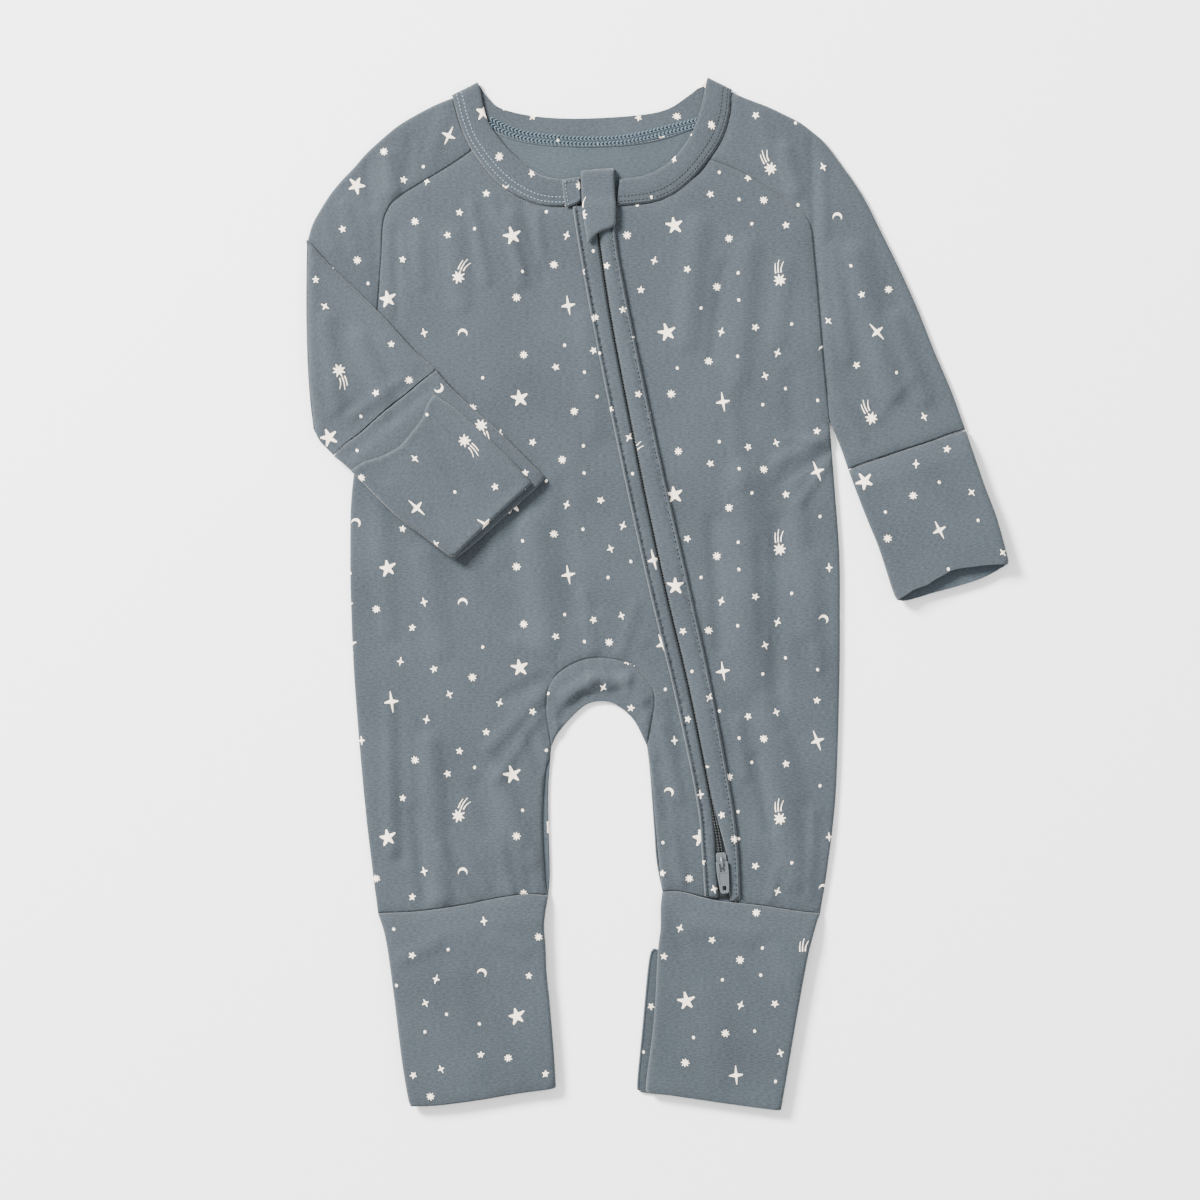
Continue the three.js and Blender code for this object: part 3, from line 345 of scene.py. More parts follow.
REPEAT = (172.0, 148.0)
PRINT_SEED = 41
TRIES = 40  # places tried for a motif before the roomiest is taken
MOTIF_REACH = 12
MOTIF_MARGIN = 0.4  # motifs nearer than this to a tube's edge are left out
MOTIF_COUNTS = [  # how many of each, and the room that each keeps free
    ("comet", 2, 34), ("big_star", 3, 30), ("sparkle", 3, 29), ("moon", 2, 26), ("burst", 9, 16),
    ("small_sparkle", 10, 14), ("small_star", 12, 13), ("dot", 15, 11),
]


def set_out_motifs():
    """Places the motifs on a repeat that wraps round at its edges, the largest first."""
    rng = random.Random(PRINT_SEED)
    placed = []
    for kind, count, spacing in MOTIF_COUNTS:
        for _ in range(count):
            best, best_gap = None, -FAR
            for _ in range(TRIES):
                x, y = rng.uniform(0, REPEAT[0]), rng.uniform(0, REPEAT[1])
                gap = FAR
                for _, px, py, _, other in placed:
                    dx = min(abs(px - x), REPEAT[0] - abs(px - x))
                    dy = min(abs(py - y), REPEAT[1] - abs(py - y))
                    gap = min(gap, math.hypot(dx, dy) - (spacing + other) / 2)
                if gap > best_gap:
                    best, best_gap = (x, y), gap
                if gap > 0:
                    break
            placed.append((kind, *best, rng.uniform(-0.5, 0.5), spacing))
    return placed


def star_loop(points, radius, waist, rng, squash=1.0, rough=0.09, blunt=0.08):
    """A hand-drawn star: alternate tips and waists, none quite alike."""
    loop = []
    for k in range(2 * points):
        reach = radius if k % 2 == 0 else radius * waist
        reach *= 1 + rng.uniform(-rough, rough)
        angle = math.pi / 2 + k * math.pi / points + rng.uniform(-0.05, 0.05)
        spread = blunt if k % 2 == 0 else 0.0
        for turn in ((-spread, spread) if spread else (0,)):
            loop.append((reach * squash * math.cos(angle + turn), reach * math.sin(angle + turn)))
    return loop


def moon_loop(radius):
    """A crescent."""
    outer = [(radius * math.cos(a), radius * math.sin(a)) for a in np.linspace(-2.1, 2.1, 11)]
    inner = [(radius * (-0.42 + 0.82 * math.cos(a)), 0.86 * radius * math.sin(a))
             for a in np.linspace(1.75, -1.75, 9)]
    return outer + inner


def tail_loop(offset, length, bend):
    """One thin curved stroke of a comet's tail."""
    side = []
    for t in np.linspace(0, 1, 6):
        x = offset + bend * t * t
        y = 4.0 + length * t
        side.append((x, y, 0.34 * (1 - 0.45 * t)))
    return [(x - w, y) for x, y, w in side] + [(x + w, y) for x, y, w in reversed(side)]


def motif_loops(kind, rng):
    """Outlines of one motif, about its own centre."""
    if kind == "comet":
        loops = [star_loop(8, 3.5, 0.5, rng, blunt=0.06)]
        loops += [tail_loop(o, 7.0 - abs(o), 1.6 + 0.5 * o) for o in (-1.5, 0.0, 1.5)]
        return loops
    if kind == "big_star":
        return [star_loop(5, 4.7, 0.42, rng)]
    if kind == "sparkle":
        return [star_loop(4, 5.6, 0.27, rng, squash=0.68, blunt=0.045)]
    if kind == "moon":
        return [moon_loop(2.6)]
    if kind == "burst":
        return [star_loop(8, 2.2, 0.55, rng)]
    if kind == "small_sparkle":
        return [star_loop(4, 2.4, 0.36, rng, squash=0.8, blunt=0.09)]
    if kind == "small_star":
        return [star_loop(5, 2.0, 0.5, rng)]
    turns = np.linspace(0, 2 * math.pi, 10, endpoint=False)
    return [[(0.8 * math.cos(a), 0.95 * math.sin(a)) for a in turns]]


MOTIFS = set_out_motifs()


class Grain:
    """Where a piece lay on the printed cloth: its turn and its shift."""

    def __init__(self, turn=0.0, shift=(0.0, 0.0), mirror=False):
        self.turn, self.shift, self.mirror = math.radians(turn), np.array(shift, float), mirror

    def to_cloth(self, points):
        """From the plan to the cloth."""
        c, s = math.cos(self.turn), math.sin(self.turn)
        p = points @ np.array([[c, s], [-s, c]]) + self.shift
        return p * (-1, 1) if self.mirror else p

    def to_plan(self, cloth):
        """From the cloth to the plan."""
        p = cloth * (-1, 1) if self.mirror else cloth
        c, s = math.cos(self.turn), math.sin(self.turn)
        return (p - self.shift) @ np.array([[c, -s], [s, c]])


def printed_loops(loop, grain, margin):
    """Outlines of the motifs that fall on a piece, in its plan."""
    cloth = grain.to_cloth(loop)
    low, high = cloth.min(0) - MOTIF_REACH, cloth.max(0) + MOTIF_REACH
    found = []
    for ix in range(math.floor(low[0] / REPEAT[0]), math.ceil(high[0] / REPEAT[0]) + 1):
        for iy in range(math.floor(low[1] / REPEAT[1]), math.ceil(high[1] / REPEAT[1]) + 1):
            for index, (kind, x, y, turn, _) in enumerate(MOTIFS):
                at = np.array((x + ix * REPEAT[0], y + iy * REPEAT[1]))
                if (at < low).any() or (at > high).any():
                    continue
                rng = random.Random(index)
                full = turn + (math.pi * 0.3 * (index % 7) if kind in ("moon", "burst") else 0)
                c, s = math.cos(full), math.sin(full)
                for points in motif_loops(kind, rng):
                    shape = np.array(points) @ np.array([[c, s], [-s, c]]) + at
                    plan = counter_clockwise(grain.to_plan(shape))
                    within = inside(plan, loop)
                    if not within.any():
                        continue
                    if margin and (not within.all() or distance_to(plan, closed(loop)).min() < margin):
                        continue
                    found.append(plan)
    return found


def signed_area(loop):
    """Area of an outline, negative where it runs clockwise."""
    ahead = np.roll(loop, -1, axis=0)
    return 0.5 * np.sum(loop[:, 0] * ahead[:, 1] - ahead[:, 0] * loop[:, 1])


def counter_clockwise(loop):
    return loop if signed_area(loop) > 0 else loop[::-1]


def closed(loop):
    return np.vstack([loop, loop[:1]])


class Panel:
    """A flat outline made of named edges, cut into triangles with its printed motifs."""

    def __init__(self, edges, grain=None, step=GRID_STEP, margin=0.0, rings=RING_OFFSETS):
        self.edges = [(kind, points if isinstance(points, np.ndarray) else smooth_line(points))
                      for kind, points in edges]
        loop = np.vstack([line[:-1] for _, line in self.edges])
        ordered = counter_clockwise(loop)
        self.area = signed_area(ordered)
        self.grain = grain or Grain()
        motifs = printed_loops(ordered, self.grain, margin) if grain else []
        coords, faces = [ordered], [list(range(len(ordered)))]
        count = len(ordered)
        for motif in motifs:
            coords.append(motif)
            faces.append(list(range(count, count + len(motif))))
            count += len(motif)
        coords.append(self.free_points(ordered, step, rings))
        verts = [Vector(p) for p in np.vstack(coords)]
        out_verts, _, out_faces, _, _, origin = delaunay_2d_cdt(verts, [], faces, 0, 1e-5, True)
        keep = [i for i, source in enumerate(origin) if 0 in source]
        used = sorted({v for i in keep for v in out_faces[i]})
        index = {v: k for k, v in enumerate(used)}
        self.points = np.array([out_verts[v][:2] for v in used])
        self.faces = [[index[v] for v in out_faces[i]] for i in keep]
        self.inked = [len(origin[i]) > 1 for i in keep]
        kinds = {kind for kind, _ in self.edges}
        self.to = {}
        for kind in kinds:
            nearest = [distance_to(self.points, line) for k, line in self.edges if k == kind]
            self.to[kind] = np.min(nearest, axis=0)

    @staticmethod
    def free_points(loop, step, rings):
        """Points inside the outline: rings close to it, then an even grid."""
        normal = np.roll(loop, -1, axis=0) - np.roll(loop, 1, axis=0)
        normal = np.stack([-normal[:, 1], normal[:, 0]], 1)
        normal /= np.maximum(np.linalg.norm(normal, axis=1), 1e-9)[:, None]
        groups = []
        for offset in rings:
            ring = loop + normal * offset
            ring = ring[inside(ring, loop)]
            groups.append(ring[distance_to(ring, closed(loop)) > RING_KEPT * offset])
        low, high = loop.min(0), loop.max(0)
        rows = np.arange(low[1], high[1], step * ROW_SHARE)
        grid = [(x + (step / 2 if k % 2 else 0), y) for k, y in enumerate(rows)
                for x in np.arange(low[0], high[0], step)]
        if grid:
            grid = np.array(grid)
            grid = grid[inside(grid, loop)]
            free_from = (rings[-1] if rings else 0) + 0.4 * step
            groups.append(grid[distance_to(grid, closed(loop)) > free_from])
        return np.vstack(groups) if groups else np.zeros((0, 2))

    def away(self, kind):
        """Distance of every point to the edges of a kind."""
        return self.to.get(kind, np.full(len(self.points), FAR))


def place(name, data):
    """Puts a mesh, lamp or camera into the scene as an object at the origin."""
    thing = bpy.data.objects.new(name, data)
    bpy.context.scene.collection.objects.link(thing)
    return thing


def mesh_from(bm, name):
    """Ends an edit mesh and gives it back as a mesh."""
    mesh = bpy.data.meshes.new(name)
    bm.to_mesh(mesh)
    bm.free()
    return mesh


class Cloth:
    """Collects placed panels into one cloth piece."""

    def __init__(self, name):
        self.name = name
        self.verts, self.faces, self.slots, self.uvs = [], [], [], []
        self.cut = 0.0

    def add(self, panel, heights, faces_up=True, xy=None):
        """Places a panel at its heights, over its own plan or over the given points."""
        start = len(self.verts)
        self.cut += panel.area * MM * MM
        plan = panel.points if xy is None else xy
        cloth = panel.grain.to_cloth(panel.points) * MM
        self.verts += [(x * MM, y * MM, z * MM) for (x, y), z in zip(plan, heights)]
        self.uvs += [tuple(p) for p in cloth]
        for face, inked in zip(panel.faces, panel.inked):
            corners = face if faces_up else face[::-1]
            self.faces.append([start + v for v in corners])
            self.slots.append(1 if inked else 0)
        return self

    def finish(self, materials, wall=WALL, inside_plain=True):
        """The piece: one welded sheet with a live wall; its far face is plain cloth unless told."""
        mesh = bpy.data.meshes.new(self.name + "_cloth")
        mesh.from_pydata(self.verts, [], self.faces)
        mesh.polygons.foreach_set("material_index", self.slots)
        mesh.polygons.foreach_set("use_smooth", [True] * len(self.faces))
        layer = mesh.uv_layers.new(name="cloth")
        corners = np.zeros(len(mesh.loops), int)
        mesh.loops.foreach_get("vertex_index", corners)
        layer.data.foreach_set("uv", np.array(self.uvs)[corners].ravel())
        weld_doubles(mesh)
        for material in materials:
            mesh.materials.append(material)
        piece = place(self.name + "_cloth", mesh)
        shell = piece.modifiers.new("wall", "SOLIDIFY")
        shell.thickness = wall * MM
        shell.offset = -1
        shell.use_even_offset = False
        shell.material_offset = 2 if inside_plain else 0
        return piece


def weld_doubles(mesh):
    """Joins the layers of a tube along their shared outline."""
    bm = bmesh.new()
    bm.from_mesh(mesh)
    bmesh.ops.remove_doubles(bm, verts=bm.verts, dist=0.02 * MM)
    bm.to_mesh(mesh)
    bm.free()


# Materials

def linear(code):
    """sRGB hex to the linear colour that the shader takes."""
    parts = [int(code[i:i + 2], 16) / 255 for i in (0, 2, 4)]
    return tuple(c / 12.92 if c <= 0.04045 else ((c + 0.055) / 1.055) ** 2.4 for c in parts) + (1.0,)


def shade(code, factor):
    """A hex colour made darker or lighter by a factor."""
    return tuple(min(1, c * factor) for c in linear(code)[:3]) + (1.0,)


def add_node(tree, kind, inputs=None, **settings):
    """Adds a node; inputs are values or the sockets that feed them."""
    node = tree.nodes.new(kind)
    for key, value in settings.items():
        setattr(node, key, value)
    for key, value in (inputs or {}).items():
        socket = node.inputs[key]
        if isinstance(value, bpy.types.NodeSocket):
            tree.links.new(value, socket)
        else:
            socket.default_value = value
    return node


def new_material(name, settings):
    """A material with a Principled shader, set by values and sockets once its nodes are there."""
    material = bpy.data.materials.new(name)
    material.use_nodes = True
    tree = material.node_tree
    tree.nodes.clear()
    output = tree.nodes.new("ShaderNodeOutputMaterial")
    shader = add_node(tree, "ShaderNodeBsdfPrincipled", settings(tree))
    tree.links.new(shader.outputs[0], output.inputs[0])
    return material


HEATHER_MM = 0.75  # height of the light and dark flecks of the yarn, which run three times as far across
RIB_MM = 1.0  # wale spacing; the real one is about 0.7 mm and is drawn coarser so that it shows
CLOUD_MM = 45.0


def jersey(name, code, contrast=0.3, rough=0.92, bump=0.5):
    """Brushed cotton jersey: matt, with flecked yarn and fine upright wales."""

    def settings(tree):
        uv = add_node(tree, "ShaderNodeUVMap", uv_map="cloth").outputs[0]

        def spaced(wide, high):
            scale = (1 / (wide * MM), 1 / (high * MM), 1)
            return add_node(tree, "ShaderNodeMapping", {"Vector": uv, "Scale": scale}).outputs[0]

        fleck = add_node(tree, "ShaderNodeTexNoise", {
            "Vector": spaced(3 * HEATHER_MM, HEATHER_MM), "Scale": 1.0, "Detail": 3.0, "Roughness": 0.6,
        }, noise_dimensions="2D")
        cloud = add_node(tree, "ShaderNodeTexNoise", {
            "Vector": spaced(CLOUD_MM, CLOUD_MM), "Scale": 1.0, "Detail": 2.0,
        }, noise_dimensions="2D")
        mixed = add_node(tree, "ShaderNodeMath", {0: cloud.outputs[0], 1: 0.35, 2: fleck.outputs[0]},
                         operation="MULTIPLY_ADD")
        spread = add_node(tree, "ShaderNodeMapRange", {
            "Value": mixed.outputs[0], "From Min": 0.42, "From Max": 0.94,
        })
        tone = add_node(tree, "ShaderNodeMix", {
            "Factor": spread.outputs[0], "A": shade(code, 1 - contrast), "B": shade(code, 1 + contrast),
        }, data_type="RGBA")
        wales = add_node(tree, "ShaderNodeTexWave", {
            "Vector": spaced(RIB_MM, RIB_MM), "Scale": 0.314, "Distortion": 1.6, "Detail": 2.0,
            "Detail Scale": 1.6,
        }, wave_type="BANDS", bands_direction="X")
        relief = add_node(tree, "ShaderNodeMath", {0: wales.outputs["Fac"], 1: 0.2, 2: fleck.outputs[0]},
                          operation="MULTIPLY_ADD")
        bumped = add_node(tree, "ShaderNodeBump", {
            "Strength": bump, "Distance": 0.25 * MM, "Height": relief.outputs[0],
        })
        return {"Base Color": tone.outputs["Result"], "Normal": bumped.outputs[0], "Roughness": rough,
                "Sheen Weight": 0.18, "Sheen Roughness": 0.5, "Specular IOR Level": 0.25}

    return new_material(name, settings)


def plain_thread(name, code, rough=0.6):
    """Spun polyester thread or nylon coil: slight gloss, with darker spots."""

    def settings(tree):
        at = add_node(tree, "ShaderNodeTexCoord").outputs["Object"]
        grain = add_node(tree, "ShaderNodeTexNoise", {"Vector": at, "Scale": 2500.0, "Detail": 2.0})
        tone = add_node(tree, "ShaderNodeMix", {
            "Factor": grain.outputs[0], "A": shade(code, 0.72), "B": linear(code),
        }, data_type="RGBA")
        return {"Base Color": tone.outputs["Result"], "Roughness": rough}

    return new_material(name, settings)


def coated_zinc(name, code):
    """Die-cast zinc with a grey coat: soft gloss, slightly pitted."""

    def settings(tree):
        at = add_node(tree, "ShaderNodeTexCoord").outputs["Object"]
        pits = add_node(tree, "ShaderNodeTexNoise", {"Vector": at, "Scale": 1800.0, "Detail": 3.0})
        rough = add_node(tree, "ShaderNodeMapRange", {
            "Value": pits.outputs[0], "To Min": 0.3, "To Max": 0.48,
        })
        bumped = add_node(tree, "ShaderNodeBump", {
            "Strength": 0.15, "Distance": 0.05 * MM, "Height": pits.outputs[0],
        })
        return {"Base Color": linear(code), "Metallic": 0.55, "Roughness": rough.outputs[0],
                "Normal": bumped.outputs[0]}

    return new_material(name, settings)


GROUND = jersey("brushed_cotton_jersey", DYED_BLUE_GREY)
INK = jersey("pigment_print_on_jersey", INK_CREAM, contrast=0.05, rough=0.85, bump=0.25)
INSIDE = jersey("jersey_inside", INSIDE_BLUE_GREY, contrast=0.24)
PRINTED = [GROUND, INK, INSIDE, INSIDE]
TAPE = jersey("woven_zip_tape", TAPE_DARK, contrast=0.2, rough=0.8)
DARK_THREAD = plain_thread("sewing_thread_dark", THREAD_DARK)
LIGHT_THREAD = plain_thread("sewing_thread_light", THREAD_LIGHT)
CHAIN_THREAD = plain_thread("coverstitch_looper_thread", CHAIN_LIGHT)
COIL = plain_thread("nylon_zip_coil", COIL_DARK, rough=0.4)
METAL = coated_zinc("coated_zinc", METAL_GREY)


# Camera, light and floor

PICTURE = 1200  # width and height of the picture in pixels
SCALE = 0.55  # millimetres shown by one pixel
ORIGIN_AT = (657.5, 594)  # pixel that shows the suit's origin
VIEW_CENTRE = ((PICTURE / 2 - ORIGIN_AT[0]) * SCALE * MM, (ORIGIN_AT[1] - PICTURE / 2) * SCALE * MM)
VIEW_HEIGHT = 3.2
SENSOR = 36.0
LIGHTS = [  # name, place, size and watts
    ("key", (-2.3, 1.95, 1.8), 1.0, 640.0),
    ("fill", (1.4, -0.7, 1.7), 1.8, 24.0),
]
DAYLIGHT = 1.35  # strength of the even white light all round
FLOOR_REACH = 3.0
FLOOR_LEVEL = -0.0004


def set_stage():
    """Camera straight above, two soft lamps, even light all round and a white floor."""
    camera = bpy.data.cameras.new("camera")
    camera.sensor_width = SENSOR
    camera.lens = SENSOR * VIEW_HEIGHT / (PICTURE * SCALE * MM)
    holder = place("camera", camera)
    holder.location = (*VIEW_CENTRE, VIEW_HEIGHT)
    bpy.context.scene.camera = holder
    for name, spot, size, energy in LIGHTS:
        light = bpy.data.lights.new(name, "AREA")
        light.size = size
        light.energy = energy
        lamp = place(name, light)
        lamp.location = spot
        lamp.rotation_euler = (-Vector(spot)).to_track_quat("-Z", "Y").to_euler()
    world = bpy.data.worlds.new("studio")
    world.use_nodes = True
    world.node_tree.nodes["Background"].inputs[0].default_value = (1, 1, 1, 1)
    world.node_tree.nodes["Background"].inputs[1].default_value = DAYLIGHT
    bpy.context.scene.world = world
    mesh = bpy.data.meshes.new("floor")
    corners = ((-1, -1), (1, -1), (1, 1), (-1, 1))
    verts = [(x * FLOOR_REACH, y * FLOOR_REACH, FLOOR_LEVEL) for x, y in corners]
    mesh.from_pydata(verts, [], [(0, 1, 2, 3)])
    mesh.materials.append(new_material("white_paper", lambda tree: {
        "Base Color": linear("fbfbfb"), "Roughness": 0.95,
    }))
    place("floor", mesh)


def dress(piece, node, body="garment"):
    """Attaches a finished piece to its body and hides the solid that it replaces."""
    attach(piece, body)
    if node:
        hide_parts(node)


# Body

def inset(line, amount):
    """The line moved sideways, to the left of its course."""
    along = np.gradient(line, axis=0)
    along /= np.maximum(np.linalg.norm(along, axis=1), 1e-9)[:, None]
    return line + np.stack([-along[:, 1], along[:, 0]], 1) * amount


def zip_edge(column):
    """A line down the zip: 1 the slit, 2 the left stitched edge, 3 the right one."""
    return smooth_line([(row[column], row[0]) for row in ZIP_ROWS])


ZIP_SLIT, ZIP_LEFT, ZIP_RIGHT = (zip_edge(column) for column in (1, 2, 3))


def front_heights(panel, seed=0.0, more_folds=()):
    """Upper face of the front: folds, small relief, gathers and rounded sides."""
    points, seam = panel.points, panel.away("seam")
    height = FRONT_TOP + folds_at(points, BODY_FOLDS + BODY_CREASES + list(more_folds))
    height += fine_relief(points, seed)
    height += pucker(points, np.minimum(seam, np.maximum(panel.away("under") - UNDERLAP, 0)))
    height -= roll_drop(panel.away("side"), FRONT_TOP - FRONT_LOW + 0.1)
    height -= seam_dip(seam, 0.55)
    return np.maximum(height, FRONT_LOW + 0.15)


def make_front_left():
    edge = ZIP_LEFT + (UNDERLAP, 0)
    to_ankle = (edge[-1][0], -166.9)
    panel = Panel([
        ("seam", [(edge[0][0], 213.2)] + BAND_EDGE_LEFT),
        ("seam", RAGLAN_LEFT),
        ("side", SIDE_LEFT),
        ("seam", ANKLE_LEFT),
        ("side", INSEAM_LEFT_FRONT),
        ("seam", GUSSET_SEAM),
        ("side", INSEAM_RIGHT_FRONT),
        ("seam", ANKLE_RIGHT[:3] + [to_ankle]),
        ("under", edge[::-1]),
    ], Grain(0, (3, 8)))
    piece = Cloth("front_left").add(panel, front_heights(panel)).finish(PRINTED)
    dress(piece, "front_left")


def make_front_right():
    edge = ZIP_RIGHT - (UNDERLAP, 0)
    from_ankle = (edge[-1][0], -170.2)
    panel = Panel([
        ("under", edge),
        ("seam", [tuple(edge[-1]), from_ankle] + ANKLE_RIGHT[5:]),
        ("side", SIDE_RIGHT),
        ("seam", RAGLAN_RIGHT),
        ("seam", BAND_EDGE_RIGHT + [tuple(edge[0])]),
    ], Grain(0, (90, 61)))
    piece = Cloth("front_right").add(panel, front_heights(panel, 3.0)).finish(PRINTED)
    dress(piece, "front_right")


def make_gusset():
    panel = Panel([("seam", GUSSET_SEAM), ("side", CROTCH[::-1])], Grain(24, (40, 30)), step=2.0)
    piece = Cloth("gusset").add(panel, front_heights(panel, 5.0, GUSSET_FOLDS)).finish(PRINTED)
    dress(piece, "gusset")


def make_back():
    panel = Panel([
        ("seam", BACK_NECK),
        ("seam", [(-95.5, 257), (-105, 243)] + RAGLAN_LEFT[2:]),
        ("side", SIDE_LEFT),
        ("seam", ANKLE_LEFT),
        ("side", INSEAM_LEFT),
        ("side", CROTCH),
        ("side", INSEAM_RIGHT),
        ("seam", ANKLE_RIGHT),
        ("side", SIDE_RIGHT),
        ("seam", RAGLAN_RIGHT[:10] + [(34, 243), (24.5, 258.5)]),
    ], Grain(0, (31, 77), mirror=True), step=UNDER_STEP)
    heights = UNDERSIDE + roll_drop(panel.away("side"), 0.9, 1.5) + seam_dip(panel.away("seam"), 0.3)
    piece = Cloth("back").add(panel, heights, faces_up=False).finish(PRINTED)
    dress(piece, "back")


# Tubes: upper and lower layer joined along their outer edges

def level(height):
    """A level that is the same everywhere."""
    return lambda p: np.full(len(p), float(height))


def rising(seam, reach):
    """A level that rises from the floor at a seam to the top of the cover behind the piece."""
    line = smooth_line(seam)
    return lambda p: (COVER_THICK + AIR) * np.clip(distance_to(p, line) / reach, 0, 1)


def under_layer(edges, grain, low, middle):
    """Panel and heights of a lower layer, rounded up to the middle at its sides."""
    panel = Panel(edges, grain, step=UNDER_STEP, margin=MOTIF_MARGIN)
    return panel, middle - (middle - low) * rounded(panel.away("side"))


def flat_tube(name, edges, low_at, high_at, grain, under_grain, folds=(), seed=0.0, bottom_edges=None,
              wall=WALL):
    """A tube pressed flat between two levels, which are functions of the plan point."""
    top = Panel(edges, grain, margin=MOTIF_MARGIN)
    bottom = Panel(bottom_edges or edges, under_grain, step=1.3 * GRID_STEP, margin=MOTIF_MARGIN)
    p, side, seam = top.points, top.away("side"), top.away("seam")
    middle = (low_at(p) + high_at(p)) / 2
    lift = folds_at(p, folds) + fine_relief(p, seed) + pucker(p, seam, 0.3, 6.0)
    height = high_at(p) + lift * np.clip(side / FADE_IN, 0, 1)
    height = middle + (height - middle) * rounded(side)
    cloth = Cloth(name).add(top, np.maximum(height - seam_dip(seam, 0.6), middle))
    p = bottom.points
    middle = (low_at(p) + high_at(p)) / 2
    cloth.add(bottom, middle - (middle - low_at(p)) * rounded(bottom.away("side")), faces_up=False)
    return cloth.finish(PRINTED, wall=wall)


def make_sleeve_right():
    top_line = [
        (40.3, 276), (50, 272), (61, 267.8), (69, 264), (78, 259.4), (84.5, 254.6), (92, 248),
        (100.4, 237), (112.5, 219.5), (122.5, 200), (133.4, 178), (143.3, 156), (152, 134),
        (161.4, 112), (169.3, 90.4),
    ]
    under_arm = [(104.8, 68.4), (101.5, 78), (98, 87), (94.5, 95)]
    seam = [(169.3, 90.4), (160.5, 88), (150, 84), (137, 79.8), (126, 76), (113, 71.8), (104.8, 68.4)]
    band = [(28.6, 239), (33.5, 247), (39.2, 262), (40.3, 276)]
    edges = [("side", top_line[::-1]), ("seam", band[::-1]), ("seam", RAGLAN_RIGHT[::-1]),
             ("side", under_arm[::-1]), ("seam", seam[::-1])]
    piece = flat_tube("sleeve_right", edges, level(0), level(FRONT_TOP), Grain(-22, (12, 40)),
                      Grain(-22, (60, 12), True), SLEEVE_RIGHT_FOLDS, seed=9.0)
    dress(piece, "sleeve_right")


def make_sleeve_left():
    """Upper arm, the fold and the forearm that lies back over it, as one sheet of cloth."""
    top_line = [
        (-112.5, 272.8), (-121.3, 269.3), (-131.7, 264), (-142.7, 257.4), (-152, 249.7), (-160.3, 242),
        (-167, 234.3), (-174, 227), (-180, 219.6), (-185.5, 211), (-189.8, 203), (-192.6, 193.5),
    ]
    fold_line = [(-192.6, 193.5), (-193, 170), (-192.9, 140), (-192, 118), (-190.4, 100), (-188.6, 89)]
    under = [(-188.6, 89), (-176, 92), (-162, 95)]
    band = [(-102, 244), (-108.6, 258.5), (-112.5, 272.8)]
    edges = [("seam", RAGLAN_LEFT[::-1]), ("seam", band), ("side", top_line), ("side", fold_line),
             ("side", under)]
    upper = Panel(edges, Grain(34, (18, 22)), margin=MOTIF_MARGIN)
    p, side = upper.points, upper.away("side")
    middle = FRONT_TOP / 2
    lift = folds_at(p, UPPER_ARM_FOLDS) + fine_relief(p, 4.0)
    height = FRONT_TOP + lift * np.clip(side / FADE_IN, 0, 1)
    height = np.minimum(height, np.where(under_forearm(p), ARM_LOW - 0.2, FAR))
    height = middle + (height - middle) * rounded(side) - seam_dip(upper.away("seam"), 0.5)
    cloth = Cloth("sleeve_left").add(upper, np.maximum(height, middle))
    cloth.add(*under_layer(edges, Grain(34, (70, 50), True), 0.0, middle), faces_up=False)
    add_forearm(cloth)
    piece = cloth.finish(PRINTED)
    dress(piece, "sleeve_left")


FOREARM_EDGE = [
    (-192.6, 194.6), (-189.8, 191.6), (-180, 180.6), (-161.4, 163), (-147.5, 149), (-133, 133),
    (-121.9, 123.3),
]
FOREARM_SEAM = [
    (-121.9, 123.3), (-130.6, 116.6), (-138.3, 110), (-147, 103.4), (-156, 95.6), (-163.6, 88.8),
    (-171.9, 82.6), (-178, 76.2),
]
FOREARM_SIDE = [(-178, 76.2), (-181.5, 79.6), (-185.6, 84), (-189.2, 91)]
FOREARM_FOLD = [(-189.2, 91), (-190.6, 104), (-192, 120), (-192.9, 145), (-193, 170), (-192.6, 194.6)]


def under_forearm(points):
    """Which points of the upper arm lie under the forearm."""
    lines = (FOREARM_EDGE, FOREARM_SEAM, FOREARM_SIDE, FOREARM_FOLD)
    return inside(points, np.vstack([smooth_line(line)[:-1] for line in lines]))


def add_forearm(cloth):
    """The folded-over forearm; along the fold its layers run down to the upper arm."""
    edges = [("side", FOREARM_EDGE), ("seam", FOREARM_SEAM), ("side", FOREARM_SIDE),
             ("fold", FOREARM_FOLD)]
    top = Panel(edges, Grain(136, (25, 96)), margin=MOTIF_MARGIN)
    p, side, fold = top.points, top.away("side"), top.away("fold")
    middle = (ARM_LOW + ARM_TOP) / 2
    fade = np.clip(np.minimum(side, fold) / FADE_IN, 0, 1)
    height = ARM_TOP + (folds_at(p, FOREARM_FOLDS) + fine_relief(p, 6.0)) * fade
    height = middle + (height - middle) * rounded(side) - seam_dip(top.away("seam"), -0.3, 3.0)
    drop = roll_drop(fold, ARM_TOP - FRONT_TOP / 2 - 0.4, 3.4)
    cloth.add(top, np.maximum(height - drop, FRONT_TOP / 2))
    cloth.add(*under_layer(edges, Grain(136, (5, 46), True), ARM_LOW, middle), faces_up=False)


# Cuffs and covers

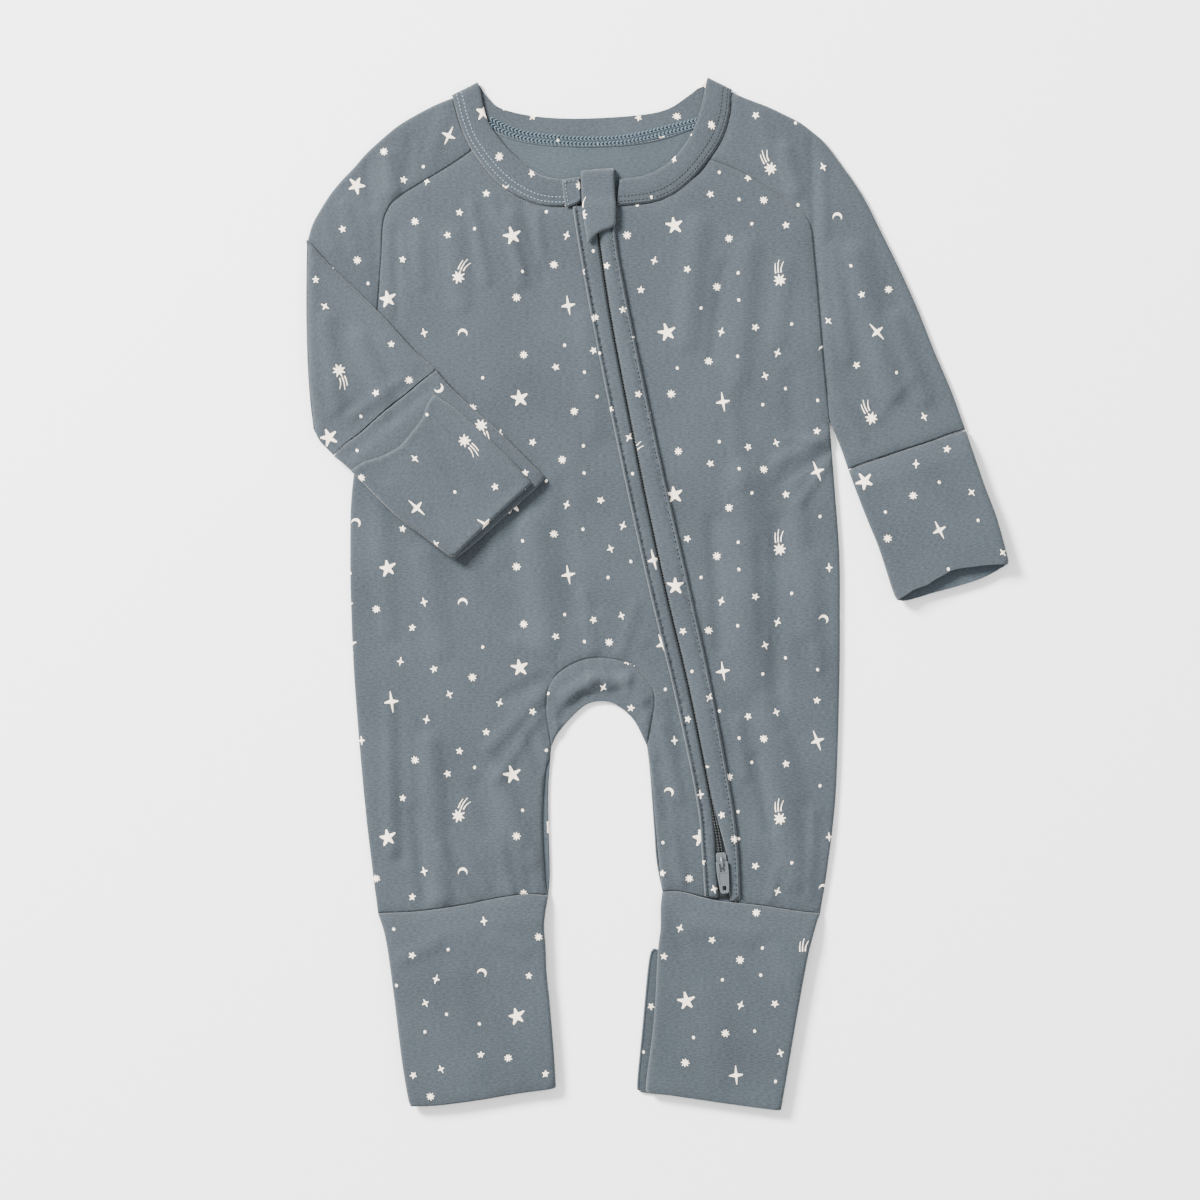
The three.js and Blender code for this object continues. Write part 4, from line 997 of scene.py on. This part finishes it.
def make_cuff_left():
    edges = [
        ("side", [(-122, 122.8), (-109.7, 109.5), (-86.6, 88.6), (-62.6, 64.6)]),
        ("seam", [(-62.6, 64.6), (-63.4, 61.6), (-75, 50.6), (-86.6, 40.2), (-99, 29), (-110.6, 19.6)]),
        ("side", [(-110.6, 19.6), (-113, 19.8), (-128, 31), (-144.4, 43.6), (-168.4, 67.6),
                  (-177.8, 75.6)]),
        ("seam", [(-177.8, 75.6), (-171.9, 82), (-163.6, 88), (-156, 95), (-147, 102.8), (-138.3, 109.4),
                  (-130.6, 116), (-122, 122.8)]),
    ]
    low_at, high_at = level(ARM_LOW), level(ARM_LOW + CUFF_THICK)
    piece = flat_tube("cuff_left", edges, low_at, high_at, Grain(136, (60, 20)),
                      Grain(136, (9, 9), True), CUFF_LEFT_FOLDS, seed=11.0, wall=1.6)
    dress(piece, "cuff_left")


def make_cuff_right():
    edges = [
        ("side", [(192.6, 16.4), (192.8, 18.6), (186.4, 42), (180, 59), (173.5, 78), (169.6, 89.8)]),
        ("seam", [(169.6, 89.8), (161, 87.6), (150, 83.6), (137, 79.4), (126, 75.6), (113, 71.2),
                  (104.9, 68)]),
        ("side", [(104.9, 68), (108.8, 57), (115, 41), (121.5, 25), (129, 1.8), (131.6, -3.4)]),
        ("hem", [(131.6, -3.4), (136.7, -0.4), (141, 2.4), (148, 5), (152, 7.6), (157, 10.4),
                 (163, 13.4), (172, 14.8), (182, 16), (192.6, 16.4)]),
    ]
    under_hem = [(131.6, -3.4), (137, -3.6), (151, 0.4), (167.5, 5), (180, 9.4), (192.6, 16.4)]
    under = edges[:3] + [("hem", under_hem)]
    low_at = rising(edges[1][1], 12)
    hem_line = smooth_line(edges[3][1])

    def high_at(p):
        """The mouth stands open, highest at the hem."""
        return low_at(p) + CUFF_THICK + 1.5 * np.clip(1 - distance_to(p, hem_line) / 50, 0, 1)

    piece = flat_tube("cuff_right", edges, low_at, high_at, Grain(-18, (140, 33)),
                      Grain(-18, (33, 5), True), seed=12.0, bottom_edges=under, wall=1.4)
    dress(piece, "cuff_right")


# Name, seam, the side that runs down, the hem, the side that runs up, grains, folds and seed
ANKLE_CUFFS = [
    ("ankle_cuff_left", ANKLE_LEFT,
     [(-153.7, -175.4), (-149.3, -190.4), (-145, -220.6), (-140.5, -257), (-136.8, -278.6),
      (-135, -281.6)],
     [(-135, -281.6), (-120, -281), (-97, -278), (-77, -274.6), (-58.4, -272), (-55.8, -270.6)],
     [(-55.8, -270.6), (-56.8, -253), (-59.2, -224), (-60.8, -209), (-61.4, -194), (-62.2, -181),
      (-60, -165.6)],
     (Grain(-4, (120, 100)), Grain(-4, (20, 60), True)),
     [(-140, -200, -122, -192, 7, 0.8), (-90, -190, -74, -196, 7, 0.7),
      (-110, -210, -100, -262, 10, 0.5)], 13.0),
    ("ankle_cuff_right", ANKLE_RIGHT,
     [(2.6, -163.6), (1.6, -172), (1.5, -184), (0.2, -196), (-2, -234), (-6.2, -268), (-5.8, -273.6)],
     [(-5.8, -273.6), (17, -277), (42, -280.6), (65, -283.6), (68, -283)],
     [(68, -283), (72.6, -256), (77, -230), (81, -208), (83.4, -196), (87.2, -182), (89.4, -175.5)],
     (Grain(5, (60, 130)), Grain(5, (90, 30), True)),
     [(20, -182, 50, -188, 9, 0.8), (66, -196, 78, -214, 7, 0.8), (30, -220, 34, -262, 12, 0.5),
      (8, -176, 14, -196, 5, -0.6)], 15.0),
]


def make_ankle_cuff(name, seam, down, hem, up, grains, folds, seed):
    """A leg cuff that rises from its seam on to the foot cover behind it."""
    edges = [("side", down), ("seam", hem), ("side", up), ("seam", seam[::-1])]
    low_at = rising(seam, 14)
    piece = flat_tube(name, edges, low_at, lambda p: low_at(p) + CUFF_THICK, *grains, folds, seed,
                      wall=1.5)
    dress(piece, name)


def side_ring(lines):
    """Folded edges all round; each line runs on to the first point of the next."""
    return [("side", line + [after[0]]) for line, after in zip(lines, lines[1:] + lines[:1])]


def cover_piece(name, lines, low, grain, seed, folds=(), faces_up=True):
    """A doubled cover: its mouth and sides are folded edges, each line starting where the last ends."""
    panel = Panel(side_ring(lines), grain)
    side = panel.away("side")
    rise = rounded(side, 1.7)
    if faces_up:
        lift = folds_at(panel.points, folds) + fine_relief(panel.points, seed)
        lift = lift * np.clip(side / FADE_IN, 0, 1) + ridge(side, 1.8, 1.2, 0.4)
        heights = low + COVER_THICK / 2 + (COVER_THICK / 2 + lift) * rise
    else:
        heights = UNDERSIDE + COVER_THICK / 2 - COVER_THICK / 2 * rise
    cloth = Cloth(name).add(panel, heights, faces_up=faces_up)
    piece = cloth.finish(PRINTED, wall=1.1, inside_plain=False)
    dress(piece, name)


def make_covers():
    mouth = [
        (-168.6, 67.8), (-161.4, 72.4), (-152.6, 75.2), (-146, 78.4), (-140.5, 82.2), (-134.4, 89.6),
        (-129, 97), (-126.6, 104),
    ]
    hand_left = [mouth, [(-123, 109.4), (-111, 101.4), (-97.6, 89.7), (-88, 80.6), (-79.5, 72.6)],
                 [(-69, 60.6), (-81, 49.6), (-99.8, 32), (-108, 24)],
                 [(-111.2, 20.4), (-113.6, 20.4), (-128, 31.6), (-144.4, 44.2)]]
    cover_piece("hand_cover_left", hand_left, HAND_LOW, Grain(140, (130, 70)),
                17.0, CUFF_LEFT_FOLDS)
    hidden = [
        ("hand_cover_right", Grain(-18, (30, 12), True), (0.062, 0.064), 18.0,
         [[(171, 76), (184, 36)], [(188.5, 18)], [(131, 1), (125.5, 20)],
          [(112, 57), (140, 58), (150, 72)]]),
        ("foot_cover_left", Grain(-4, (66, 12), True), (0.086, 0.080), 19.0,
         [[(-145.5, -206), (-141, -236)], [(-134, -278)], [(-59, -268), (-63, -228)],
          [(-65, -198), (-105, -206)]]),
        ("foot_cover_right", Grain(5, (16, 72), True), (0.086, 0.086), 20.0,
         [[(-1.6, -194.8), (-3.6, -196.4), (-5.4, -206), (-8.2, -236), (-11.3, -269)],
          [(-10.4, -273), (-5, -274.6), (30, -278)], [(64, -281.5), (72, -243), (76, -214)],
          [(78, -202), (40, -208)]]),
    ]
    for name, grain, flat, seed, lines in hidden:
        cover_piece(name, lines, 0, grain, seed, faces_up=False)


# Neckband, plackets and garage

def rib_pair(ribs, step):
    """Inner and outer edge of a stretch of the band, with as many points each."""
    inner = smooth_line([rib[:2] for rib in ribs], step)
    source = smooth_line([rib[2:] for rib in ribs], step)
    pick = np.linspace(0, len(source) - 1, len(inner))
    return inner, np.stack([np.interp(pick, np.arange(len(source)), source[:, k]) for k in (0, 1)], 1)


def rib_lines():
    """Inner and outer edge and the turn under at the shoulders, all along the band."""
    rows = []
    for ribs, phase in ((BAND_LEFT_RIBS, 0.0), (BAND_BACK_RIBS, math.pi), (BAND_RIGHT_RIBS, 0.0)):
        inner, outer = rib_pair(ribs, 1.8)
        if rows:
            turn_from = rows[-1][4]
            for t in np.linspace(0, 1, 9)[1:-1]:
                rows.append((*inner[0], *outer[0], turn_from + (phase - turn_from) * t))
        rows += [(*i, *o, phase) for i, o in zip(inner, outer)]
    rows = np.array(rows)
    return rows[:, :2], rows[:, 2:4], rows[:, 4]


BAND_ROLL = BAND_TOP / 2
BAND_UPPER = 2.2  # faces of the band's upper layer lie above this


def make_neckband():
    """A strip set out flat, then laid along the ribs and rolled over at the shoulders."""
    inner, outer, phase = rib_lines()
    centre = (inner + outer) / 2
    run = np.linalg.norm(np.diff(centre, axis=0), axis=1)
    bend = np.abs(np.diff(phase)) * BAND_ROLL
    along = np.concatenate([[0], np.cumsum(np.maximum(run, bend))])
    width, length = BAND_WIDTH, along[-1]
    panel = Panel([("end", [(0, width), (0, 0)]), ("seam", [(0, 0), (length, 0)]),
                   ("end", [(length, 0), (length, width)]), ("side", [(length, width), (0, width)])],
                  Grain(0, (22, 101)), step=1.8)
    s, w = panel.points[:, 0], panel.points[:, 1]

    def at(values):
        return np.interp(s, along, values)

    inner_at = np.stack([at(inner[:, 0]), at(inner[:, 1])], 1)
    outer_at = np.stack([at(outer[:, 0]), at(outer[:, 1])], 1)
    turn = at(phase)
    share = w / width
    across = outer_at - inner_at
    across /= np.linalg.norm(across, axis=1)[:, None]
    outwards = np.stack([-across[:, 1], across[:, 0]], 1)
    outwards *= np.where(outwards[:, 1] < 0, -1, 1)[:, None]
    crown = 0.35 * np.sin(math.pi * np.clip(share, 0, 1)) + 0.12 * fine_relief(panel.points, 30.0)
    crown -= roll_drop(panel.away("side"), 0.8, 1.8) + seam_dip(panel.away("seam"), 0.5, 1.0)
    crown -= sum(ridge(w, row, 0.7, 0.4) for row in BAND_STITCH_ROWS)
    reach = BAND_ROLL + crown * np.cos(turn)
    xy = outer_at + (inner_at - outer_at) * share[:, None]
    xy += outwards * (BAND_ROLL * np.sin(turn))[:, None]
    z = BAND_ROLL + reach * np.cos(turn)
    z = np.where(turn > math.pi / 2, np.maximum(BAND_ROLL * (1 + np.cos(turn)), UNDERSIDE), z)
    cloth = Cloth("neckband").add(panel, z, xy=xy)
    piece = cloth.finish([GROUND, INK, GROUND, INK], wall=1.1, inside_plain=False)
    fix_outside(piece)
    dress(piece, "neckband")


def fix_outside(piece):
    """Turns the band's faces over if its first layer looks down."""
    mesh = piece.data
    first_layer = [p for p in mesh.polygons if p.center.z > BAND_UPPER * MM]
    if sum(p.normal.z * p.area for p in first_layer) < 0:
        mesh.flip_normals()


def slit_half(y):
    """Half the gap between the plackets, which widens towards the slider."""
    near = np.clip((SLIT_OPEN_FROM - y) / (SLIT_OPEN_FROM - SLIDER_AT[1] - 7), 0, 1)
    return SLIT_HALF + (SLIT_OPEN_HALF - SLIT_HALF) * near ** 1.5


def make_placket(side):
    """One side's folded strip: a ridge and a groove at its stitched lip, rounded at the slit."""
    half = slit_half(ZIP_SLIT[:, 1])
    opening = ZIP_SLIT + np.stack([side * half, np.zeros(len(half))], 1)
    stitched = (ZIP_LEFT if side < 0 else ZIP_RIGHT).copy()
    foot = -166.4 if side < 0 else -168.2
    opening[-1][1] = foot - 0.6
    stitched[-1][1] = foot
    edges = [("slit", opening), ("foot", [tuple(opening[-1]), tuple(stitched[-1])]),
             ("lip", stitched[::-1]), ("end", [tuple(stitched[0]), tuple(opening[0])])]
    panel = Panel(edges, Grain(7, (50 + 40 * side, 110)), step=1.5, rings=(0.2, 0.55, 1.0, 1.5))
    lip, slit = panel.away("lip"), panel.away("slit")
    share = np.clip(lip / (lip + slit), 0, 1)
    swell = 0.5 if side < 0 else 0.75
    height = 3.75 + swell * np.sin(math.pi * share ** 0.9)
    height += ridge(lip, 0.8, 0.55, 0.85) + ridge(lip, PLACKET_STITCH_IN, 0.65, -0.95)
    height += 0.4 * fine_relief(panel.points, 21.0 + side) + pucker(panel.points, lip, 0.3, 5.0)
    height -= roll_drop(slit, 1.1, 1.4) + roll_drop(lip, 1.0, 0.7)
    height -= roll_drop(panel.away("foot"), 1.4, 2.0)
    height += folds_at(panel.points, BODY_FOLDS)
    name = "placket_left" if side < 0 else "placket_right"
    piece = Cloth(name).add(panel, np.minimum(height, PLACKET_TOP + 0.4)).finish(PRINTED, wall=0.8)
    dress(piece, name)


def make_zip_tape():
    left = smooth_line([(slit - TAPE_HALF, y) for y, slit, _, _ in ZIP_ROWS])
    right = smooth_line([(slit + TAPE_HALF, y) for y, slit, _, _ in ZIP_ROWS])
    edges = [("end", [tuple(right[0]), tuple(left[0])]), ("end", left),
             ("end", [tuple(left[-1]), tuple(right[-1])]), ("end", right[::-1])]
    panel = Panel(edges, None, step=3.0, rings=())
    cloth = Cloth("zip_tape").add(panel, np.full(len(panel.points), TAPE_TOP))
    piece = cloth.finish([TAPE], wall=0.6, inside_plain=False)
    dress(piece, "zip_tape")


def make_garage():
    """The small tab folded over the zip's upper end; it steps up on to the neckband."""
    lines = [[(-42.2, 232.4), (-41.8, 221), (-41, 209)],
             [(-38.6, 193.4), (-37.6, 192.8), (-33.6, 197.4), (-29.4, 199.8), (-25.4, 201)],
             [(-23, 203.4), (-22.8, 212), (-23.4, 220)], [(-24, 234), (-33, 233.4)]]
    panel = Panel(side_ring(lines), Grain(3, (38, 28)), step=1.6)
    y = panel.points[:, 1]
    neck_end, band_foot, hanging_end = 234, 212, 196
    over = np.clip((y - band_foot) / 8, 0, 1)
    height = PLACKET_TOP + 1.9 + (BAND_TOP - PLACKET_TOP + 0.2) * over * over * (3 - 2 * over)
    height -= roll_drop(neck_end - y, 2.6, 4.0)
    height += ridge(y, hanging_end, 6, 0.5)
    height -= roll_drop(panel.away("side"), 1.1, 1.6)
    height += 0.3 * fine_relief(panel.points, 33)
    piece = Cloth("zip_garage").add(panel, height).finish(PRINTED, wall=1.0, inside_plain=False)
    dress(piece, "zip_garage")


def make_band_end():
    """The folded end of the band beside the zip, stitched down on it."""
    lines = [[(-52.6, 227.6), (-51.8, 220)], [(-50.6, 212.4), (-46, 213.8)],
             [(-41.6, 216), (-42.2, 222)], [(-42.8, 229), (-48, 228.4)]]
    panel = Panel(side_ring(lines), Grain(3, (5, 8)), step=1.4)
    away = panel.away("side")
    height = BAND_TOP + 1.0 - roll_drop(away, 0.8, 1.2) + 0.3 * fine_relief(panel.points, 35)
    height += ridge(away, 1.0, 0.6, 0.35) - ridge(away, 2.2, 0.6, 0.3)
    piece = Cloth("band_end").add(panel, height).finish(PRINTED, wall=0.8, inside_plain=False)
    dress(piece, None)


# Sewing: a small item repeated along a path

CHAIN_TURN = 0.62
RAY_FROM = 0.05
STITCH_LIFT = 0.05


def capsule(name, length, width, height, rings=4, sides=6):
    """A rounded stitch lying along X."""
    verts, faces = [(-length / 2, 0, 0)], []
    for i in range(1, rings):
        a = math.pi * i / rings
        r = math.sin(a)
        for k in range(sides):
            b = 2 * math.pi * k / sides
            verts.append((-length / 2 * math.cos(a), width / 2 * r * math.cos(b),
                          height / 2 * r * math.sin(b)))
    verts.append((length / 2, 0, 0))
    last = len(verts) - 1
    for k in range(sides):
        n = (k + 1) % sides
        faces.append((0, 1 + n, 1 + k))
        for i in range(rings - 2):
            a, b = 1 + i * sides, 1 + (i + 1) * sides
            faces.append((a + k, a + n, b + n, b + k))
        faces.append((last, last - sides + k, last - sides + n))
    mesh = bpy.data.meshes.new(name)
    mesh.from_pydata([(x * MM, y * MM, z * MM) for x, y, z in verts], [], faces)
    mesh.polygons.foreach_set("use_smooth", [True] * len(faces))
    return bpy.data.objects.new(name, mesh)


def chevron(name, length, width, thick):
    """Two crossing threads of a looper chain, pointing along X."""
    bm = bmesh.new()
    for side in (-1, 1):
        part = capsule(name + "_arm", length, thick, thick)
        c, s = math.cos(side * CHAIN_TURN), math.sin(side * CHAIN_TURN)
        for v in part.data.vertices:
            x, y, z = v.co
            v.co = (c * x - s * y, s * x + c * y - side * width / 4 * MM, z)
        bm.from_mesh(part.data)
    mesh = mesh_from(bm, name)
    mesh.polygons.foreach_set("use_smooth", [True] * len(mesh.polygons))
    return bpy.data.objects.new(name, mesh)


def repeat_tree():
    """Geometry Nodes: an item at even spacing along a line, turned to run with it."""
    tree = bpy.data.node_groups.new("repeat_along_line", "GeometryNodeTree")
    for name, way, kind in (("Geometry", "INPUT", "Geometry"), ("Item", "INPUT", "Object"),
                            ("Pitch", "INPUT", "Float"), ("Finish", "INPUT", "Material"),
                            ("Geometry", "OUTPUT", "Geometry")):
        tree.interface.new_socket(name, in_out=way, socket_type="NodeSocket" + kind)
    given = tree.nodes.new("NodeGroupInput").outputs
    line = add_node(tree, "GeometryNodeMeshToCurve", {"Mesh": given["Geometry"]})
    spaced = add_node(tree, "GeometryNodeResampleCurve", {
        "Curve": line.outputs[0], "Length": given["Pitch"],
    }, mode="LENGTH")
    item = add_node(tree, "GeometryNodeObjectInfo", {"Object": given["Item"]})
    tangent = tree.nodes.new("GeometryNodeInputTangent")
    turn = add_node(tree, "FunctionNodeAlignRotationToVector", {"Vector": tangent.outputs[0]},
                    axis="X", pivot_axis="Z")
    placed = add_node(tree, "GeometryNodeInstanceOnPoints", {
        "Points": spaced.outputs[0], "Instance": item.outputs["Geometry"], "Rotation": turn.outputs[0],
    })
    real = add_node(tree, "GeometryNodeRealizeInstances", {"Geometry": placed.outputs[0]})
    finish = add_node(tree, "GeometryNodeSetMaterial", {
        "Geometry": real.outputs[0], "Material": given["Finish"],
    })
    output = tree.nodes.new("NodeGroupOutput")
    tree.links.new(finish.outputs[0], output.inputs[0])
    return tree


REPEAT_TREE = repeat_tree()


def repeat_along(name, lines, item, pitch, material):
    """Runs the repeat tree over one or more 3-D lines and keeps the result as a plain mesh."""
    verts, edges = [], []
    for line in lines:
        start = len(verts)
        verts += [tuple(np.array(p) * MM) for p in line]
        edges += [(start + k, start + k + 1) for k in range(len(line) - 1)]
    mesh = bpy.data.meshes.new(name + "_line")
    mesh.from_pydata(verts, edges, [])
    carrier = place(name + "_line", mesh)
    bpy.context.scene.collection.objects.link(item)
    modifier = carrier.modifiers.new("repeat", "NODES")
    modifier.node_group = REPEAT_TREE
    names = {s.name: s.identifier for s in REPEAT_TREE.interface.items_tree if s.in_out == "INPUT"}
    modifier[names["Item"]] = item
    modifier[names["Pitch"]] = pitch * MM
    modifier[names["Finish"]] = material
    depsgraph = bpy.context.evaluated_depsgraph_get()
    result = bpy.data.meshes.new_from_object(carrier.evaluated_get(depsgraph))
    result.name = name
    bpy.data.objects.remove(carrier)
    bpy.data.objects.remove(item)
    return place(name, result)


def on_surface(piece, lines):
    """Each line's plan points that a finished piece lies under, just above it, in millimetres."""
    polygons = [p.vertices for p in piece.data.polygons]
    tree = BVHTree.FromPolygons([v.co for v in piece.data.vertices], polygons)
    found = []
    for line in lines:
        hits = []
        for x, y in line:
            hit = tree.ray_cast(Vector((x * MM, y * MM, RAY_FROM)), Vector((0, 0, -1)))[0]
            if hit is not None:
                hits.append((x, y, hit.z / MM + STITCH_LIFT))
        if len(hits) > 2:
            found.append(hits)
    return found


def stitch(name, piece, lines, pitch, size, material):
    """Stitches of a length, width and height along lines on a piece."""
    row = repeat_along(name, on_surface(piece, lines), capsule(name + "_item", *size), pitch, material)
    dress(row, None)


def sew():
    """All stitches, on the finished pieces."""
    pieces = bpy.data.objects
    for side, ribs, thread in (("left", BAND_LEFT_RIBS, LIGHT_THREAD),
                               ("right", BAND_RIGHT_RIBS, DARK_THREAD)):
        inner, outer = rib_pair(ribs, 1.5)
        rows = [outer + (inner - outer) * row / BAND_WIDTH for row in BAND_STITCH_ROWS]
        stitch("band_stitches_" + side, pieces["neckband_cloth"], rows, 2.0, (1.5, 0.62, 0.45), thread)
    for side, line, way in (("left", ZIP_LEFT, 1), ("right", ZIP_RIGHT, -1)):
        rows = [line + (PLACKET_STITCH_IN * way, 0)]
        placket = pieces["placket_" + side + "_cloth"]
        stitch("placket_stitches_" + side, placket, rows, 2.4, (1.6, 0.6, 0.4), DARK_THREAD)
    rows = [smooth_line([(-50.8, 226.4), (-50, 220), (-49, 214.2)]),
            smooth_line([(-50.6, 226.2), (-46.8, 227), (-43.8, 227.2)])]
    stitch("band_end_stitches", pieces["band_end_cloth"], rows, 1.8, (1.3, 0.5, 0.4), LIGHT_THREAD)
    centre = smooth_line([(23.5, 259.5), (7, 255.4), (-14.6, 250.4), (-35.5, 248.8), (-56.4, 249.8),
                          (-72.3, 251.8), (-84, 255.6), (-92, 259.8)], 1.2)
    rows = [[(x, y, 1.8) for x, y in inset(centre, offset)] for offset in (-1.5, 1.5)]
    item = chevron("chevron", 2.5, 2.6, 0.6)
    chain = repeat_along("neck_chain_stitches", rows, item, 2.1, CHAIN_THREAD)
    dress(chain, None)


def make_zip_teeth():
    """Two rows of coil turns, from the neck to the slider."""
    closed_part = ZIP_SLIT[ZIP_SLIT[:, 1] > SLIDER_AT[1] + 5]
    rows = [[(x + side * 0.75, y, TAPE_TOP + 0.35) for x, y in closed_part] for side in (-1, 1)]
    teeth = repeat_along("zip_coil", rows, capsule("coil_turn", 0.6, 1.7, 0.9), 0.85, COIL)
    dress(teeth, None)


# Slider and pull tab

ARCH_SIDES = 8


def plate(name, outline, holes, low, high, bevel):
    """A flat metal plate with holes and softened edges, in the slider's own axes."""
    verts, faces = [], []
    for loop in [outline] + holes:
        faces.append(list(range(len(verts), len(verts) + len(loop))))
        verts += [Vector(p) for p in counter_clockwise(np.array(loop))]
    out_verts, _, out_faces, _, _, origin = delaunay_2d_cdt(verts, [], faces, 0, 1e-6, True)
    bm = bmesh.new()
    layer = [bm.verts.new((v.x * MM, v.y * MM, low * MM)) for v in out_verts]
    for face, source in zip(out_faces, origin):
        if list(source) == [0]:
            bm.faces.new([layer[k] for k in face][::-1])
    for v in [v for v in bm.verts if not v.link_faces]:
        bm.verts.remove(v)
    bmesh.ops.dissolve_limit(bm, angle_limit=0.01, verts=bm.verts, edges=bm.edges)
    grown = bmesh.ops.extrude_face_region(bm, geom=bm.faces[:], use_keep_orig=True)
    for v in [g for g in grown["geom"] if isinstance(g, bmesh.types.BMVert)]:
        v.co.z = high * MM
    bmesh.ops.recalc_face_normals(bm, faces=bm.faces)
    sharp = [e for e in bm.edges if e.is_manifold and e.calc_face_angle(0) > 0.6]
    bmesh.ops.bevel(bm, geom=sharp, offset=bevel * MM, segments=2, affect="EDGES", profile=0.6)
    return mesh_from(bm, name)


def arch_mesh(name, width, half_length, low, high, bar):
    """The slider's bridge, a bent bar over the pull tab's end."""
    path = [(-half_length, low)]
    for a in np.linspace(math.pi, 0, 9):
        path.append((half_length * math.cos(a) * (1 - 0.12 * math.sin(a)),
                     low + (high - low) * math.sin(a) ** 0.6))
    path.append((half_length, low))
    bm = bmesh.new()
    rings = []
    for i, (y, z) in enumerate(path):
        before, after = path[max(0, i - 1)], path[min(len(path) - 1, i + 1)]
        d = Vector((after[0] - before[0], after[1] - before[1]))
        d = d.normalized() if d.length > 1e-6 else Vector((0, 1))
        section = []
        for k in range(ARCH_SIDES):
            a = 2 * math.pi * k / ARCH_SIDES
            u, v = width / 2 * math.cos(a), bar / 2 * math.sin(a)
            section.append(bm.verts.new((u * MM, (y - d.y * v) * MM, (z + d.x * v) * MM)))
        rings.append(section)
    for a, b in zip(rings, rings[1:]):
        for k in range(ARCH_SIDES):
            n = (k + 1) % ARCH_SIDES
            bm.faces.new((a[k], a[n], b[n], b[k]))
    bm.faces.new(rings[0][::-1])
    bm.faces.new(rings[-1])
    bmesh.ops.recalc_face_normals(bm, faces=bm.faces)
    return mesh_from(bm, name)


def join_metal(name, meshes, body, node):
    """Joins metal parts and places them at the slider."""
    bm = bmesh.new()
    for mesh in meshes:
        bm.from_mesh(mesh)
    mesh = mesh_from(bm, name)
    c, s = math.cos(SLIDER_TURN), math.sin(SLIDER_TURN)
    for v in mesh.vertices:
        x, y, z = v.co
        v.co = (c * x - s * y + SLIDER_AT[0] * MM, s * x + c * y + SLIDER_AT[1] * MM, z)
    mesh.materials.append(METAL)
    mesh.polygons.foreach_set("use_smooth", [False] * len(mesh.polygons))
    dress(place(name, mesh), node, body=body)


def make_slider():
    shield = [
        (-2.0, 5.5), (2.0, 5.5), (2.8, 4.3), (2.8, -1.0), (2.1, -4.6), (1.4, -5.5), (-1.4, -5.5),
        (-2.1, -4.6), (-2.8, -1.0), (-2.8, 4.3),
    ]
    base = [
        (-3.0, 5.5), (3.0, 5.5), (3.9, 4.3), (3.9, -1), (2.8, -5.5), (-2.8, -5.5), (-3.9, -1),
        (-3.9, 4.3),
    ]
    post = [(-0.8, 3.6), (0.8, 3.6), (0.8, 0.4), (-0.8, 0.4)]
    rib = [(-0.8, 5.2), (0.8, 5.2), (0.8, -5.2), (-0.8, -5.2)]
    join_metal("slider_dressed", [
        plate("slider_base", base, [], 1.6, 2.4, 0.2),
        plate("slider_post", post, [], 2.2, 3.7, 0.05),
        plate("slider_top", shield, [], 3.5, 4.4, 0.25),
        plate("slider_rib", rib, [], 4.3, 4.55, 0.08),
        arch_mesh("slider_arch", 1.5, 3.3, 4.3, 6.75, 0.8),
    ], "garment", "slider")


def make_pull_tab():
    outline = [
        (-3.1, 0.5), (-3.3, 0.0), (-3.3, -6), (-3.05, -9.5), (-2.6, -14.5), (-2.3, -16.2), (-1.6, -17),
        (1.6, -17), (2.3, -16.2), (2.6, -14.5), (3.05, -9.5), (3.3, -6), (3.3, 0.0), (3.1, 0.5),
    ]
    slot = [(-1.55, -0.6), (-1.55, -5.1), (1.55, -5.1), (1.55, -0.6)]
    window = [(-1.05, -12.9), (-1.05, -15.3), (1.05, -15.3), (1.05, -12.9)]
    recess = [(-2.3, -5.7), (-2.2, -9.4), (-1.75, -12.4), (1.75, -12.4), (2.2, -9.4), (2.3, -5.7)]
    z = HINGE_HEIGHT
    join_metal("pull_tab_dressed", [
        plate("pull_plate", outline, [slot, window], z - 0.5, z + 0.25, 0.12),
        plate("pull_rim", outline, [slot, window, recess], z + 0.2, z + 0.55, 0.12),
    ], "pull", "pull_tab")


def build():
    set_stage()
    make_back()
    make_front_left()
    make_front_right()
    make_gusset()
    make_sleeve_right()
    make_sleeve_left()
    make_cuff_left()
    make_cuff_right()
    for cuff in ANKLE_CUFFS:
        make_ankle_cuff(*cuff)
    make_covers()
    make_neckband()
    make_placket(-1)
    make_placket(1)
    make_zip_tape()
    make_zip_teeth()
    make_garage()
    make_band_end()
    sew()
    make_slider()
    make_pull_tab()


build()
